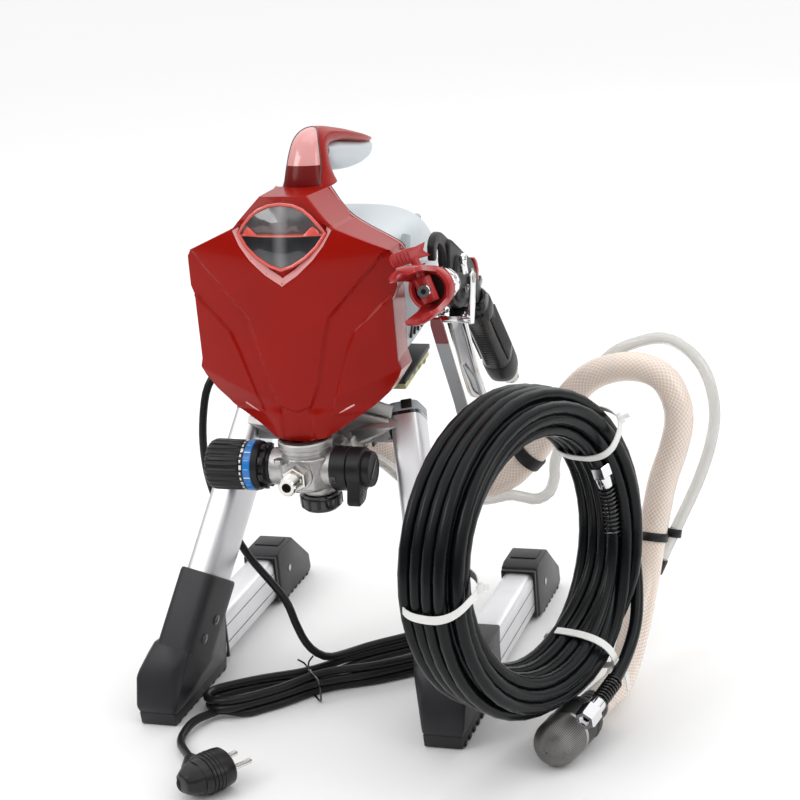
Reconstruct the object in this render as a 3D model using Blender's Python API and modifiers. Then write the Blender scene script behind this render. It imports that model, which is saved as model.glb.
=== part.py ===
"""Airless paint sprayer on a two-legged stand, with its gun, hoses and mains cord.

Lengths are written in millimetres in the machine's own frame: X to the machine's right,
Y to the rear from the fronts of the feet, Z up from the floor.  MM turns them into metres,
and the root empty moves the frame's origin to the middle of the stand's footprint.
"""

import math

import bmesh
import bpy
from mathutils import Matrix, Vector

MM = 0.001
GAP = 0.3                     # clearance between pieces that touch
FOOTPRINT_CENTRE_Y = 162.85   # middle of the stand, behind the fronts of the feet

# ---- driving dimensions of the stand
FOOT_X = 125.0                # foot centre from the middle plane
LEG_FOOT = Vector((FOOT_X, 13.3, 0.0))
LEG_TOP = Vector((67.1, 151.0, 228.5))
LEG_WIDTH, LEG_DEPTH, LEG_WALL = 26.0, 42.0, 2.0
LEG_TWIST = math.radians(9.9)
LEG_START, LEG_END = 46.0, 274.0      # along the leg's axis, from the floor
BOOT_TOP = 127.0
FLOOR_TUBE_WIDTH, FLOOR_TUBE_HEIGHT = 28.0, 40.0
FLOOR_TUBE_Z = 26.0
FLOOR_TUBE_Y = (66.0, 296.0)

# ---- driving dimensions of the pump
PUMP_Y = 84.0                 # the pump rod's vertical axis
VALVE_Z = 204.5               # the cross axis of the pressure knob and the prime valve
GEAR_Z, MOTOR_Z = 285.0, 321.2
GEAR_TEETH, PINION_TEETH = 60, 12
CRANK_RADIUS = 9.0

# ---- the gun hangs in this plane
GUN_X = 115.0
NOZZLE = Vector((GUN_X, 72.0, 357.7))
GUN_AXIS = Vector((0.0, 134.0, -22.0)).normalized()
TRIGGER_PIVOT = Vector((GUN_X, 165.0, 343.0))

# ---- hoses and cord
COIL_CENTRE = Vector((200.0, 30.0, 162.5))
COIL_RADIUS, COIL_HALF_THICK, COIL_HALF_WIDTH = 109.5, 16.0, 30.0
COIL_TURN, COIL_LEAN = math.radians(67.5), math.radians(5.0)
SUCTION_RADIUS, RETURN_RADIUS, CORD_RADIUS = 12.5, 5.0, 3.5

SUCTION_ROUTE = [
    (13, 152, 206.5), (15, 162, 204.5), (21, 174, 196), (35, 189, 175), (72, 206, 150), (105, 216, 142), (129, 220, 149),
    (142, 222, 160), (155, 224, 174), (171, 226, 197), (186, 228, 219), (206, 230, 238), (230, 232, 246),
    (253, 232, 245), (269, 230, 236), (278, 228, 219), (280, 225, 200), (275, 220, 177), (267, 215, 154),
    (262, 208, 131), (257, 200, 103), (253, 185, 72), (250, 158, 44), (248, 125, 26), (246, 98, 19.5),
    (240.4, 78, 18.5), (235.5, 60.0, 18.5)]
RETURN_ROUTE = [
    (34.3, 134, 196.8), (42, 150, 184), (51, 171, 161), (63, 189, 140), (80, 207, 128), (95, 217, 125.5),
    (110, 226, 124), (125, 234, 125), (136, 240, 121), (147, 244, 118), (158, 246, 124), (164, 245, 139), (166, 244, 155),
    (176, 245, 181), (192, 249, 217), (217, 251, 249), (242, 251, 262), (267, 250, 266), (288, 247, 255),
    (302, 243, 236), (308, 239, 208), (305, 234, 181), (295, 227, 150), (281, 219, 119), (268, 211, 92),
    (259, 206, 72)]
CORD_DROP_ROUTE = [
    (-94.4, 162.8, 265.4), (-101, 158, 263), (-109, 152, 255), (-115, 147, 239), (-118.5, 141, 206),
    (-116, 137, 172), (-104, 131, 138), (-89, 125, 117), (-75, 118, 102), (-43, 103, 76), (-28, 98, 50),
    (-24, 98, 35), (-24, 99, 25)]
CORD_TAIL_ROUTE = [
    (-85, 16.5, 8), (-90, 5, 7), (-93, -7, 6), (-92, -22, 5), (-87, -35, 6), (-80.5, -45, 8), (-73, -55, 10),
    (-64.5, -65.5, 12)]
HANK_START, HANK_END = Vector((-72.0, 43.0)), Vector((62.0, 150.0))
HANK_HALF_WIDTH, HANK_HEIGHT = 24.0, 21.0
PLUG_CENTRE = Vector((-36.0, -90.0, 16.0))
PLUG_PIN_DIRECTION = Vector((0.52, 0.85, 0.0)).normalized()

for stale in list(bpy.data.objects):
    bpy.data.objects.remove(stale, do_unlink=True)

PARTS = bpy.data.collections.new("airless_paint_sprayer")
CUTTERS = bpy.data.collections.new("cutters")
bpy.context.scene.collection.children.link(PARTS)
bpy.context.scene.collection.children.link(CUTTERS)
ROOT = bpy.data.objects.new("sprayer_root", None)
ROOT.location = (0.0, -FOOTPRINT_CENTRE_Y * MM, 0.0)
PARTS.objects.link(ROOT)


# ---------------------------------------------------------------- materials
def material(name, colour, roughness, metallic=0.0):
    made = bpy.data.materials.new(name)
    made.use_nodes = True
    shader = made.node_tree.nodes["Principled BSDF"]
    shader.inputs["Base Color"].default_value = (*colour, 1.0)
    shader.inputs["Roughness"].default_value = roughness
    shader.inputs["Metallic"].default_value = metallic
    return made


RED = material("red_gloss_plastic", (0.42, 0.02, 0.015), 0.22)
GREY = material("grey_plastic", (0.66, 0.70, 0.73), 0.35)
BLACK = material("black_plastic", (0.02, 0.02, 0.022), 0.42)
RUBBER = material("black_rubber", (0.012, 0.012, 0.014), 0.38)
ALUMINIUM = material("aluminium_tube", (0.72, 0.72, 0.74), 0.28, 1.0)
CAST = material("cast_aluminium", (0.50, 0.50, 0.50), 0.45, 1.0)
CHROME = material("chrome", (0.78, 0.78, 0.80), 0.08, 1.0)
STEEL = material("steel", (0.45, 0.45, 0.46), 0.3, 1.0)
SMOKE = material("smoked_lens", (0.05, 0.05, 0.055), 0.12)
BLUE = material("blue_ring", (0.02, 0.22, 0.62), 0.35)
BRAID = material("braided_hose", (0.80, 0.66, 0.57), 0.4)
CLEAR = material("clear_tube", (0.78, 0.78, 0.76), 0.15)
COPPER = material("motor_steel", (0.30, 0.31, 0.33), 0.4, 1.0)


# ---------------------------------------------------------------- building blocks
def add(name, bm, finish, origin=(0, 0, 0), collection=None, smooth_angle=35.0):
    """Make an object from a bmesh in machine millimetres, with its origin at `origin`."""
    origin = Vector(origin)
    bmesh.ops.translate(bm, verts=bm.verts, vec=-origin)
    bmesh.ops.scale(bm, verts=bm.verts, vec=(MM, MM, MM))
    bmesh.ops.recalc_face_normals(bm, faces=bm.faces)
    mesh = bpy.data.meshes.new(name)
    bm.to_mesh(mesh)
    bm.free()
    mesh.shade_smooth()
    mesh.set_sharp_from_angle(angle=math.radians(smooth_angle))
    obj = bpy.data.objects.new(name, mesh)
    obj.data.materials.append(finish)
    (collection or PARTS).objects.link(obj)
    obj.parent = ROOT
    obj.location = origin * MM
    return obj


def helper(bm):
    """An object that only cuts or joins another."""
    obj = add("cutter", bm, CAST, collection=CUTTERS)
    obj.hide_render = True
    obj.display_type = "WIRE"
    return obj


def combine(obj, operation, *shapes):
    for bm in shapes:
        modifier = obj.modifiers.new(operation.lower(), "BOOLEAN")
        modifier.operation = operation
        modifier.solver = "EXACT"
        modifier.object = helper(bm)
    return obj


def cut(obj, *shapes):
    return combine(obj, "DIFFERENCE", *shapes)


def join(obj, *shapes):
    return combine(obj, "UNION", *shapes)


def frame_of(axis, hint=(0, 0, 1)):
    """Rotation whose Z runs along `axis` and whose X is as near `hint` as it can be."""
    z = Vector(axis).normalized()
    hint = Vector(hint)
    if abs(z.dot(hint.normalized())) > 0.99:
        hint = Vector((1, 0, 0))
    x = (hint - z * hint.dot(z)).normalized()
    y = z.cross(x)
    return Matrix((x, y, z)).transposed().to_4x4()


def box(low, high):
    bm = bmesh.new()
    bmesh.ops.create_cube(bm, size=1.0)
    low, high = Vector(low), Vector(high)
    bmesh.ops.scale(bm, verts=bm.verts, vec=high - low)
    bmesh.ops.translate(bm, verts=bm.verts, vec=(low + high) / 2)
    return bm


def turned_box(centre, axes, half_sizes):
    """A box along three unit vectors."""
    bm = bmesh.new()
    bmesh.ops.create_cube(bm, size=2.0)
    turn = Matrix([a * h for a, h in zip(axes, half_sizes)]).transposed().to_4x4()
    bmesh.ops.transform(bm, verts=bm.verts, matrix=Matrix.Translation(centre) @ turn)
    return bm


def rod(start, end, radius, end_radius=None, sides=32, turn=0.0):
    """A cylinder or cone from start to end."""
    start, end = Vector(start), Vector(end)
    bm = bmesh.new()
    bmesh.ops.create_cone(bm, cap_ends=True, segments=sides, radius1=radius,
                          radius2=radius if end_radius is None else end_radius, depth=(end - start).length)
    place = Matrix.Translation((start + end) / 2) @ frame_of(end - start) @ Matrix.Rotation(turn, 4, "Z")
    bmesh.ops.transform(bm, verts=bm.verts, matrix=place)
    return bm


def hull(points):
    bm = bmesh.new()
    for point in points:
        bm.verts.new(point)
    made = bmesh.ops.convex_hull(bm, input=bm.verts)
    spare = list({v for v in made["geom_interior"] + made["geom_unused"] if isinstance(v, bmesh.types.BMVert)})
    bmesh.ops.delete(bm, geom=spare, context="VERTS")
    return bm


def prism(outline, start, end):
    """A (y, z) outline carried along X from start to end."""
    bm = bmesh.new()
    face = bm.faces.new([bm.verts.new((start, y, z)) for y, z in outline])
    made = bmesh.ops.extrude_face_region(bm, geom=[face])
    moved = [v for v in made["geom"] if isinstance(v, bmesh.types.BMVert)]
    bmesh.ops.translate(bm, verts=moved, vec=(end - start, 0, 0))
    bmesh.ops.recalc_face_normals(bm, faces=bm.faces)
    return bm


def ribbon(points, thickness):
    """The (y, z) outline of a flat strip that follows a few points."""
    left, right = [], []
    for i, point in enumerate(points):
        before = Vector(points[max(i - 1, 0)])
        after = Vector(points[min(i + 1, len(points) - 1)])
        along = (after - before).normalized()
        side = Vector((-along.y, along.x)) * thickness / 2
        left.append(tuple(Vector(point) + side))
        right.append(tuple(Vector(point) - side))
    return left + right[::-1]


def oval(centre, half_width, half_height, along="y", power=2.6, sides=24):
    """A rounded-rectangle ring of points across X and Z (along y) or across X and Y (along z)."""
    ring = []
    for i in range(sides):
        angle = 2 * math.pi * (i + 0.5) / sides
        c, s = math.cos(angle), math.sin(angle)
        u = math.copysign(abs(c) ** (2 / power), c) * half_width
        v = math.copysign(abs(s) ** (2 / power), s) * half_height
        offset = (u, 0, v) if along == "y" else (u, v, 0)
        ring.append(Vector(centre) + Vector(offset))
    return ring


def loft(rings, cap_start=True, cap_end=True):
    bm = bmesh.new()
    loops = [[bm.verts.new(point) for point in ring] for ring in rings]
    for near, far in zip(loops, loops[1:]):
        for i in range(len(near)):
            j = (i + 1) % len(near)
            bm.faces.new((near[i], near[j], far[j], far[i]))
    if cap_start:
        bm.faces.new(loops[0][::-1])
    if cap_end:
        bm.faces.new(loops[-1])
    return bm


def turned(profile, base, axis, sides=40):
    """A turned shape: (radius, distance) points, from the far end down the outside to the base."""
    bm = bmesh.new()
    steps = [[] for _ in profile]
    turn = frame_of(axis)
    for k, (radius, distance) in enumerate(profile):
        count = 1 if radius < 1e-6 else sides
        for i in range(count):
            angle = 2 * math.pi * i / sides
            local = Vector((radius * math.cos(angle), radius * math.sin(angle), distance))
            steps[k].append(bm.verts.new(Vector(base) + turn.to_3x3() @ local))
    rings = list(zip(steps, steps[1:]))
    if profile[0][0] > 1e-6:
        rings.append((steps[-1], steps[0]))
    for near, far in rings:
        for i in range(sides):
            j = (i + 1) % sides
            corners = [near[i % len(near)], near[j % len(near)], far[j % len(far)], far[i % len(far)]]
            unique = [v for n, v in enumerate(corners) if v not in corners[:n]]
            if len(unique) > 2:
                bm.faces.new(unique)
    return bm


def smooth_route(points, spacing):
    """Evenly spaced points on a smooth curve through the given ones."""
    points = [Vector(p) for p in points]
    padded = [2 * points[0] - points[1]] + points + [2 * points[-1] - points[-2]]
    fine = []
    for a, b, c, d in zip(padded, padded[1:], padded[2:], padded[3:]):
        for step in range(16):
            t = step / 16
            fine.append(0.5 * ((2 * b) + (c - a) * t + (2 * a - 5 * b + 4 * c - d) * t * t
                               + (3 * b - a - 3 * c + d) * t ** 3))
    fine.append(points[-1])
    lengths = [0.0]
    for near, far in zip(fine, fine[1:]):
        lengths.append(lengths[-1] + (far - near).length)
    count = max(2, round(lengths[-1] / spacing))
    even, k = [], 0
    for i in range(count + 1):
        target = lengths[-1] * i / count
        while k < len(lengths) - 2 and lengths[k + 1] < target:
            k += 1
        share = (target - lengths[k]) / max(lengths[k + 1] - lengths[k], 1e-9)
        even.append(fine[k].lerp(fine[k + 1], share))
    return even


def tube(name, route, radius, finish, spacing, resolution=2):
    """A cord's or hose's plain tube on a poly spline."""
    data = bpy.data.curves.new(name, "CURVE")
    data.dimensions = "3D"
    spline = data.splines.new("POLY")
    points = smooth_route(route, spacing)
    spline.points.add(len(points) - 1)
    for target, point in zip(spline.points, points):
        target.co = (*(point * MM), 1.0)
    data.bevel_depth = radius * MM
    data.bevel_resolution = resolution
    data.render_resolution_u = 0
    data.use_fill_caps = True
    data.materials.append(finish)
    obj = bpy.data.objects.new(name, data)
    PARTS.objects.link(obj)
    obj.parent = ROOT
    return obj


def mirrored(vector, side):
    return Vector((vector[0] * side, vector[1], vector[2]))


# ---------------------------------------------------------------- stand
def leg_frame(side):
    """Foot point, axis, across and fore-aft unit vectors of a leg (side is -1 left, +1 right)."""
    foot, top = mirrored(LEG_FOOT, side), mirrored(LEG_TOP, side)
    axis = (top - foot).normalized()
    front = Vector((side * math.sin(LEG_TWIST), -math.cos(LEG_TWIST), 0.0))
    front = (front - axis * front.dot(axis)).normalized()
    across = axis.cross(front)
    if across.x < 0:
        across = -across
    return foot, axis, across, front


def leg_block(side, start, end, half_across, half_fore, shift=0.0):
    foot, axis, across, front = leg_frame(side)
    centre = foot + axis * (start + end) / 2 + front * shift
    return turned_box(centre, (across, front, axis), (half_across, half_fore, (end - start) / 2))


def floor_block(side, y_range, half_width, half_height, z=FLOOR_TUBE_Z):
    x = side * FOOT_X
    return box((x - half_width, y_range[0], z - half_height), (x + half_width, y_range[1], z + half_height))


def boot_toe(side):
    """The flared foot under the leg, up to where its socket begins."""
    x = side * FOOT_X
    out, inner = x + side * 18.0, x - side * 17.0
    foot, axis, across, front = leg_frame(side)
    socket = foot + axis * 66
    points = [(x + side * 15, 3, 0), (inner, 3, 0), (inner, 112, 0), (x + side * 15, 112, 0),
              (out, 0, 14), (inner, 0, 14), (out + side * 1.0, 17, 47), (inner + side * 1, 15, 60),
              (out, 40, 62), (out - side * 1, 108, 46), (inner, 120, 46)]
    for u in (-16.5, 16.5):
        for v in (-24, 24):
            points.append(socket + across * u + front * v)
    return hull(points)


def boot(side, label):
    socket = leg_block(side, 40, BOOT_TOP, 16.5, 24.5)
    obj = add(f"front_boot_{label}", socket, BLACK)
    join(obj, boot_toe(side), hull(
        [(side * FOOT_X + u, y, z) for u in (-17, 17) for y, z in ((60, 2), (112, 2), (124, 53), (60, 53))]))
    cut(obj, leg_block(side, LEG_START - GAP, 400, LEG_WIDTH / 2 + GAP, LEG_DEPTH / 2 + GAP),
        floor_block(side, (FLOOR_TUBE_Y[0] - GAP, 400), FLOOR_TUBE_WIDTH / 2 + GAP, FLOOR_TUBE_HEIGHT / 2 + GAP))
    return obj


def leg_tube(side, label):
    tube_wall = leg_block(side, LEG_START, LEG_END, LEG_WIDTH / 2, LEG_DEPTH / 2)
    obj = add(f"leg_tube_{label}", tube_wall, ALUMINIUM)
    cut(obj, leg_block(side, 0, 400, LEG_WIDTH / 2 - LEG_WALL, LEG_DEPTH / 2 - LEG_WALL))
    room = floor_block(side, (FLOOR_TUBE_Y[0] - 1, 400), FLOOR_TUBE_WIDTH / 2 + 1, FLOOR_TUBE_HEIGHT / 2 + 1)
    cut(obj, room)
    return obj


def leg_cap(side, label):
    flange = leg_block(side, LEG_END + GAP, LEG_END + 6, LEG_WIDTH / 2 + 0.5, LEG_DEPTH / 2 + 0.5)
    obj = add(f"leg_top_cap_{label}", flange, BLACK)
    join(obj, leg_block(side, LEG_END - 14, LEG_END + 2, LEG_WIDTH / 2 - LEG_WALL - GAP,
                        LEG_DEPTH / 2 - LEG_WALL - GAP))
    return obj


def floor_tube(side, label):
    wall = floor_block(side, FLOOR_TUBE_Y, FLOOR_TUBE_WIDTH / 2, FLOOR_TUBE_HEIGHT / 2)
    obj = add(f"floor_tube_{label}", wall, ALUMINIUM)
    cut(obj, floor_block(side, (0, 400), FLOOR_TUBE_WIDTH / 2 - LEG_WALL, FLOOR_TUBE_HEIGHT / 2 - LEG_WALL))
    return obj


def rear_cap(side, label):
    """A boxy rubber foot over the floor tube's rear end, bevelled at its back."""
    outline = [(242, 0), (321, 0), (326, 4), (324, 19), (286, 52), (256, 52)]
    x = side * FOOT_X
    obj = add(f"rear_cap_{label}", prism(outline, x - 17, x + 17), BLACK)
    bevel = obj.modifiers.new("edges", "BEVEL")
    bevel.width, bevel.segments, bevel.limit_method = 2.5 * MM, 2, "ANGLE"
    cut(obj, floor_block(side, (0, FLOOR_TUBE_Y[1] + GAP), FLOOR_TUBE_WIDTH / 2 + GAP,
                         FLOOR_TUBE_HEIGHT / 2 + GAP))
    return obj


def stand():
    for side, label in ((-1, "left"), (1, "right")):
        boot(side, label)
        leg_tube(side, label)
        leg_cap(side, label)
        floor_tube(side, label)
        rear_cap(side, label)


# ---------------------------------------------------------------- drive
def gear_outline(teeth, module, centre_y_plane, phase=0.0, backlash=0.10):
    """The (x, z) outline of a straight-flanked spur gear about its own centre."""
    pitch = teeth * module / 2
    quarter = math.pi / teeth / 2
    outline = []
    for tooth in range(teeth):
        middle = 2 * math.pi * tooth / teeth + phase
        root, tip = quarter * 1.25 - backlash / pitch, quarter * 0.55 - backlash / pitch
        for offset, radius in ((-root, pitch - 1.25 * module), (-tip, pitch + 0.85 * module),
                               (tip, pitch + 0.85 * module), (root, pitch - 1.25 * module)):
            outline.append((radius * math.sin(middle + offset), centre_y_plane, radius * math.cos(middle + offset)))
    return outline


def gear(teeth, module, centre, thickness, phase):
    bm = bmesh.new()
    corners = [Vector(p) + Vector(centre) for p in gear_outline(teeth, module, 0.0, phase)]
    face = bm.faces.new([bm.verts.new(p) for p in corners])
    made = bmesh.ops.extrude_face_region(bm, geom=[face])
    moved = [v for v in made["geom"] if isinstance(v, bmesh.types.BMVert)]
    bmesh.ops.translate(bm, verts=moved, vec=(0, thickness, 0))
    bmesh.ops.recalc_face_normals(bm, faces=bm.faces)
    return bm


def chassis():
    """The cast plate that carries motor, gear, pump and legs."""
    plate = box((-44, 138, 228), (44, 146, 352))
    obj = add("cast_chassis", plate, CAST)
    arms = hull([(x, y, z) for x in (-62, 62) for y, z in ((124, 229.5), (172, 229.5), (168, 212), (126, 212))])
    join(obj, arms,
         box((-20, 83, 238.5), (20, 142, 246)),
         rod((0, PUMP_Y, 230.8), (0, PUMP_Y, 242), 10.0, sides=24),
         rod((0, 142, GEAR_Z), (0, 113, GEAR_Z), 5.0, sides=24))
    for side in (-1, 1):
        fin = hull([(side * 66, 124, 233), (side * 66, 120, 228), (side * 40, 118, 229), (side * 30, 112, 227),
                    (side * 30, 114, 214), (side * 40, 128, 212), (side * 58, 128, 233)])
        join(obj, fin)
        cut(obj, leg_block(side, 100, 400, LEG_WIDTH / 2 + 0.8, LEG_DEPTH / 2 + 0.8))
    cut(obj, rod((0, PUMP_Y, 220), (0, PUMP_Y, 260), 7.0, sides=24),
        rod((0, 120, MOTOR_Z), (0, 160, MOTOR_Z), 8.0, sides=24),
        box((-4, 100, 180), (34, 180, 222)))
    return obj


def motor():
    shell = turned([(26, 257), (36, 257), (40, 250), (40, 151), (34, 146 + GAP), (12, 146 + GAP), (12, 151),
                    (36, 155), (36, 246), (26, 250)], (0, 0, MOTOR_Z), (0, 1, 0), 36)
    add("motor_housing", shell, COPPER, (0, 146, MOTOR_Z))
    shaft = add("motor_shaft", rod((0, 128, MOTOR_Z), (0, 262, MOTOR_Z), 4.0, sides=20), STEEL,
                (0, 128, MOTOR_Z))
    join(shaft, rod((0, 160, MOTOR_Z), (0, 238, MOTOR_Z), 27.0, sides=32),
         gear(PINION_TEETH, 1.0, (0, 117, MOTOR_Z), 12, math.pi / PINION_TEETH))
    hub = rod((0, 264, MOTOR_Z), (0, 276, MOTOR_Z), 9.0, sides=24)
    fan = add("cooling_fan", hub, BLACK, (0, 264, MOTOR_Z))
    for blade in range(6):
        angle = 2 * math.pi * blade / 6
        out = Vector((math.cos(angle), 0, math.sin(angle)))
        along = Vector((-out.z * 0.8, 0.6, out.x * 0.8))
        centre = Vector((0, 270, MOTOR_Z)) + out * 19
        join(fan, turned_box(centre, (out, along.cross(out).normalized(), along), (12.5, 0.9, 6.0)))
    cut(fan, rod((0, 255, MOTOR_Z), (0, 290, MOTOR_Z), 4.2, sides=20))
    join(shaft, rod((0, 261, MOTOR_Z), (0, 278, MOTOR_Z), 3.9, sides=20))


def crank():
    wheel = gear(GEAR_TEETH, 1.0, (0, 118, GEAR_Z), 8, 0.0)
    obj = add("crank_gear", wheel, STEEL, (0, 118, GEAR_Z))
    pin = (CRANK_RADIUS, 0, GEAR_Z)
    join(obj, rod((pin[0], 119, pin[2]), (pin[0], 100.5, pin[2]), 3.5, sides=20))
    cut(obj, rod((0, 100, GEAR_Z), (0, 130, GEAR_Z), 5.3, sides=24))
    yoke = box((-19, 94, 270), (19, 100, 300))
    rod_obj = add("pump_rod_yoke", yoke, STEEL, (0, PUMP_Y, 270))
    cut(rod_obj, box((-15, 90, 280.5), (15, 105, 289.5)))
    join(rod_obj, rod((0, PUMP_Y, 272), (0, PUMP_Y, 207), 6.0, sides=24), box((-8, PUMP_Y - 5, 262), (8, 98, 272)))


# ---------------------------------------------------------------- pump
def pump():
    body = turned([(0, 24), (16, 24), (16, -24), (14, -29), (0, -29)], (0, PUMP_Y, VALVE_Z), (1, 0, 0), 32)
    manifold = add("pump_manifold", body, CAST)
    join(manifold, rod((0, PUMP_Y, 189), (0, PUMP_Y, 220.5), 20.5, sides=40),
         rod((9, PUMP_Y, 184), (9, PUMP_Y, 200), 14, sides=32),
         rod((12, PUMP_Y, 207), (12, 126, 207), 12, sides=24),
         rod((0, PUMP_Y, 205), (0, 61, 205), 11, sides=6, turn=math.pi / 6))
    cut(manifold, rod((0, PUMP_Y, 194), (0, PUMP_Y, 240), 6.6, sides=24))

    ring = turned([(10.5, 230.5), (21, 230.5), (21, 227.5), (22.5, 227), (22.5, 223), (20, 220.8), (7, 220.8), (7, 227)],
                  (0, PUMP_Y, 0), (0, 0, 1), 40)
    add("pump_collar", ring, CAST)
    cap = turned([(0, 184 - GAP), (17.0, 184 - GAP), (17.0, 171), (15.5, 169.5), (0, 169.5)],
                 (9, PUMP_Y, 0), (0, 0, 1), 6)
    add("inlet_valve_cap", cap, BLACK)

    nipple = turned([(0, -26), (6.8, -26), (7.6, -24.5), (7.6, -14), (6.0, -13), (6.0, -10), (0, -10)],
                    (0, 61 - GAP, 205), (0, 1, 0), 24)
    outlet = add("outlet_nipple", nipple, CHROME)
    join(outlet, rod((0, 61 - GAP, 205), (0, 61 - GAP - 11, 205), 10.5, sides=6))
    cut(outlet, rod((0, 20, 205), (0, 59, 205), 3.0, sides=20))

    suction = rod((12, 126 + GAP, 207), (12, 138, 207), 13, sides=6)
    fitting = add("suction_fitting", suction, CHROME)
    join(fitting, rod((12, 137, 207), (12.7, 147.0, 206.8), 9.5, sides=24))
    barb = add("return_barb", rod((30, 112, 199), (33.3, 131, 197.2), 4.5, sides=20), CHROME)
    join(barb, rod((29.5, 110, 199.2), (30.5, 116, 198.8), 7, sides=6))
    clamp = turned([(14.0, 3.5), (15.8, 3.5), (15.8, -3.5), (14.0, -3.5)], (13.8, 156.5, 205.8), (0.18, 0.95, -0.22), 28)
    clamp = add("suction_hose_clamp", clamp, STEEL)
    join(clamp, box((28.0, 154.5, 202), (32.5, 160, 210)), box((31.5, 153, 196), (33.5, 161.5, 216)))


def controls():
    """The pressure knob with its ring, and the prime valve with its lever."""
    axis_point = (0, PUMP_Y, VALVE_Z)
    collar = turned([(4, -30 + GAP), (14, -30 + GAP), (15, -33), (20.5, -38), (20.5, -43), (4, -43)][::-1],
                    axis_point, (1, 0, 0), 36)
    add("pressure_collar", collar, BLACK)
    ring = turned([(5.5, -54), (21.2, -54), (21.2, -43 - GAP), (5.5, -43 - GAP)], axis_point, (1, 0, 0), 40)
    add("pressure_scale_ring", ring, BLUE, (-49, PUMP_Y, VALVE_Z))
    knob = turned([(0, -85), (18.0, -85), (20.2, -81), (21.3, -75), (21.3, -54 - GAP), (0, -54 - GAP)],
                  axis_point, (1, 0, 0), 40)
    knob = add("pressure_knob", knob, BLACK, (-54, PUMP_Y, VALVE_Z))
    join(knob, rod((-56, PUMP_Y, VALVE_Z), (-44, PUMP_Y, VALVE_Z), 5.0, sides=24))

    base = turned([(0, 38), (15, 38), (18.5, 36), (18.5, 24 + GAP), (0, 24 + GAP)], axis_point, (1, 0, 0), 36)
    add("prime_valve_body", base, BLACK)
    turn = turned([(0, 57), (15, 57), (17.5, 54), (18.2, 38 + GAP), (0, 38 + GAP)], axis_point, (1, 0, 0), 32)
    handle = add("prime_knob", turn, BLACK, (38, PUMP_Y, VALVE_Z))
    join(handle, hull([(x, y, z) for x in (39, 50) for y, z in
                       ((PUMP_Y - 16, VALVE_Z - 6), (PUMP_Y - 22, VALVE_Z - 22), (PUMP_Y - 14, VALVE_Z - 26),
                        (PUMP_Y + 2, VALVE_Z - 15))]))


# ---------------------------------------------------------------- covers and handle
COVER_OUTLINE = [(22, 430), (41, 404), (80, 385), (87, 378), (89, 355), (84.5, 346), (84.5, 294), (86.5, 287),
                 (76, 270), (50, 254), (24, 234), (8, 231)]


def cover_ring(scale_in, y_of):
    """One closed ring round the cover's outline, moved in towards its middle by `scale_in`."""
    middle = Vector((0.0, 330.0))
    half = [Vector(p) for p in COVER_OUTLINE]
    ring = half + [Vector((-p.x, p.y)) for p in reversed(half)]
    points = []
    for p in ring:
        q = p.lerp(middle, scale_in)
        points.append(Vector((q.x, y_of(q), q.y)))
    return points


def cover_front(q):
    """How far back the cover's face lies at (x, z)."""
    upper = max(0.0, q.y - 378.0)
    lower = max(0.0, 257.0 - q.y)
    return 70.0 + 16.0 * (q.x / 85.0) ** 2 + 0.38 * upper + 0.35 * lower


def cover_rear(q):
    """How far back the cover's rim lies; its lower flanks are cut away."""
    return 137.0 - 0.85 * max(0.0, 280.0 - q.y)


def cover_side(q):
    return cover_front(q) + 0.3 * (cover_rear(q) - cover_front(q))


def front_cover():
    rings = [cover_ring(0.0, cover_rear), cover_ring(0.0, cover_side)]
    rings += [cover_ring(inset, cover_front) for inset in (0.045, 0.2, 0.35, 0.5, 0.65, 0.8, 0.94)]
    bm = loft(rings, cap_start=False, cap_end=True)
    obj = add("front_cover", bm, RED)
    shell = obj.modifiers.new("wall", "SOLIDIFY")
    shell.thickness, shell.offset = 2.2 * MM, -1.0
    cut(obj, rod((0, PUMP_Y, 220), (0, PUMP_Y, 244), 11.0, sides=24))
    return obj


def emblem_window():
    """A plain smoked lens set on the cover's upper front."""
    outline = ((0, 424), (20, 420), (38, 402), (24, 385), (0, 376), (-24, 385), (-38, 402), (-20, 420))
    rings = []
    for inset, lift in ((0.9, 1.8), (0.45, 1.8), (0.0, 1.8), (0.0, 4.2), (0.45, 4.6), (0.9, 4.6)):
        ring = [Vector((x * (1 - inset), z + (401 - z) * inset)) for x, z in outline]
        rings.append([Vector((q.x, cover_front(q) - lift, q.y)) for q in ring])
    return add("emblem_window", loft(rings), SMOKE)


def handle():
    neck = loft([oval((0, 152, 424), 25, 24, "z"), oval((0, 154, 440), 19, 21, "z"),
                 oval((0, 158, 456), 14.5, 17, "z"), oval((0, 162, 466), 10.5, 12, "z"),
                 oval((0, 163, 470), 6, 7, "z")])
    upper = add("handle_upper", neck, RED)
    grip = [oval((0, 166, 457), 11.5, 11, power=2.4), oval((0, 190, 455.5), 12.5, 9, power=2.4),
            oval((0, 235, 445.5), 13.5, 6.5, power=2.4), oval((0, 270, 436.5), 11, 4.0, power=2.4),
            oval((0, 287, 432.5), 6, 2.0, power=2.4)]
    join(upper, loft(grip))
    cut(upper, box((-40, 100, 400), (40, 137.3, 432)))
    lower = [oval((0, 186, 439.5), 12, 6.5, power=2.4), oval((0, 210, 435), 13, 8.5, power=2.4),
             oval((0, 240, 429), 13, 8.5, power=2.4), oval((0, 268, 427.5), 10.5, 4.4, power=2.4),
             oval((0, 284, 427.6), 5, 2.0, power=2.4)]
    lower_shell = add("handle_lower", loft(lower), GREY)
    cut(lower_shell, grip_clearance())
    inlay = hull([(x, y, z) for x, y, z in
                  [(-15, 126, 433), (15, 126, 433), (-15, 123.6, 433), (15, 123.6, 433), (-13, 129, 447),
                   (13, 129, 447), (-13, 126.6, 447), (13, 126.6, 447), (-8, 136, 459.5), (8, 136, 459.5),
                   (-8, 133.6, 459.5), (8, 133.6, 459.5)]])
    add("handle_front_inlay", inlay, RED)


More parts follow.
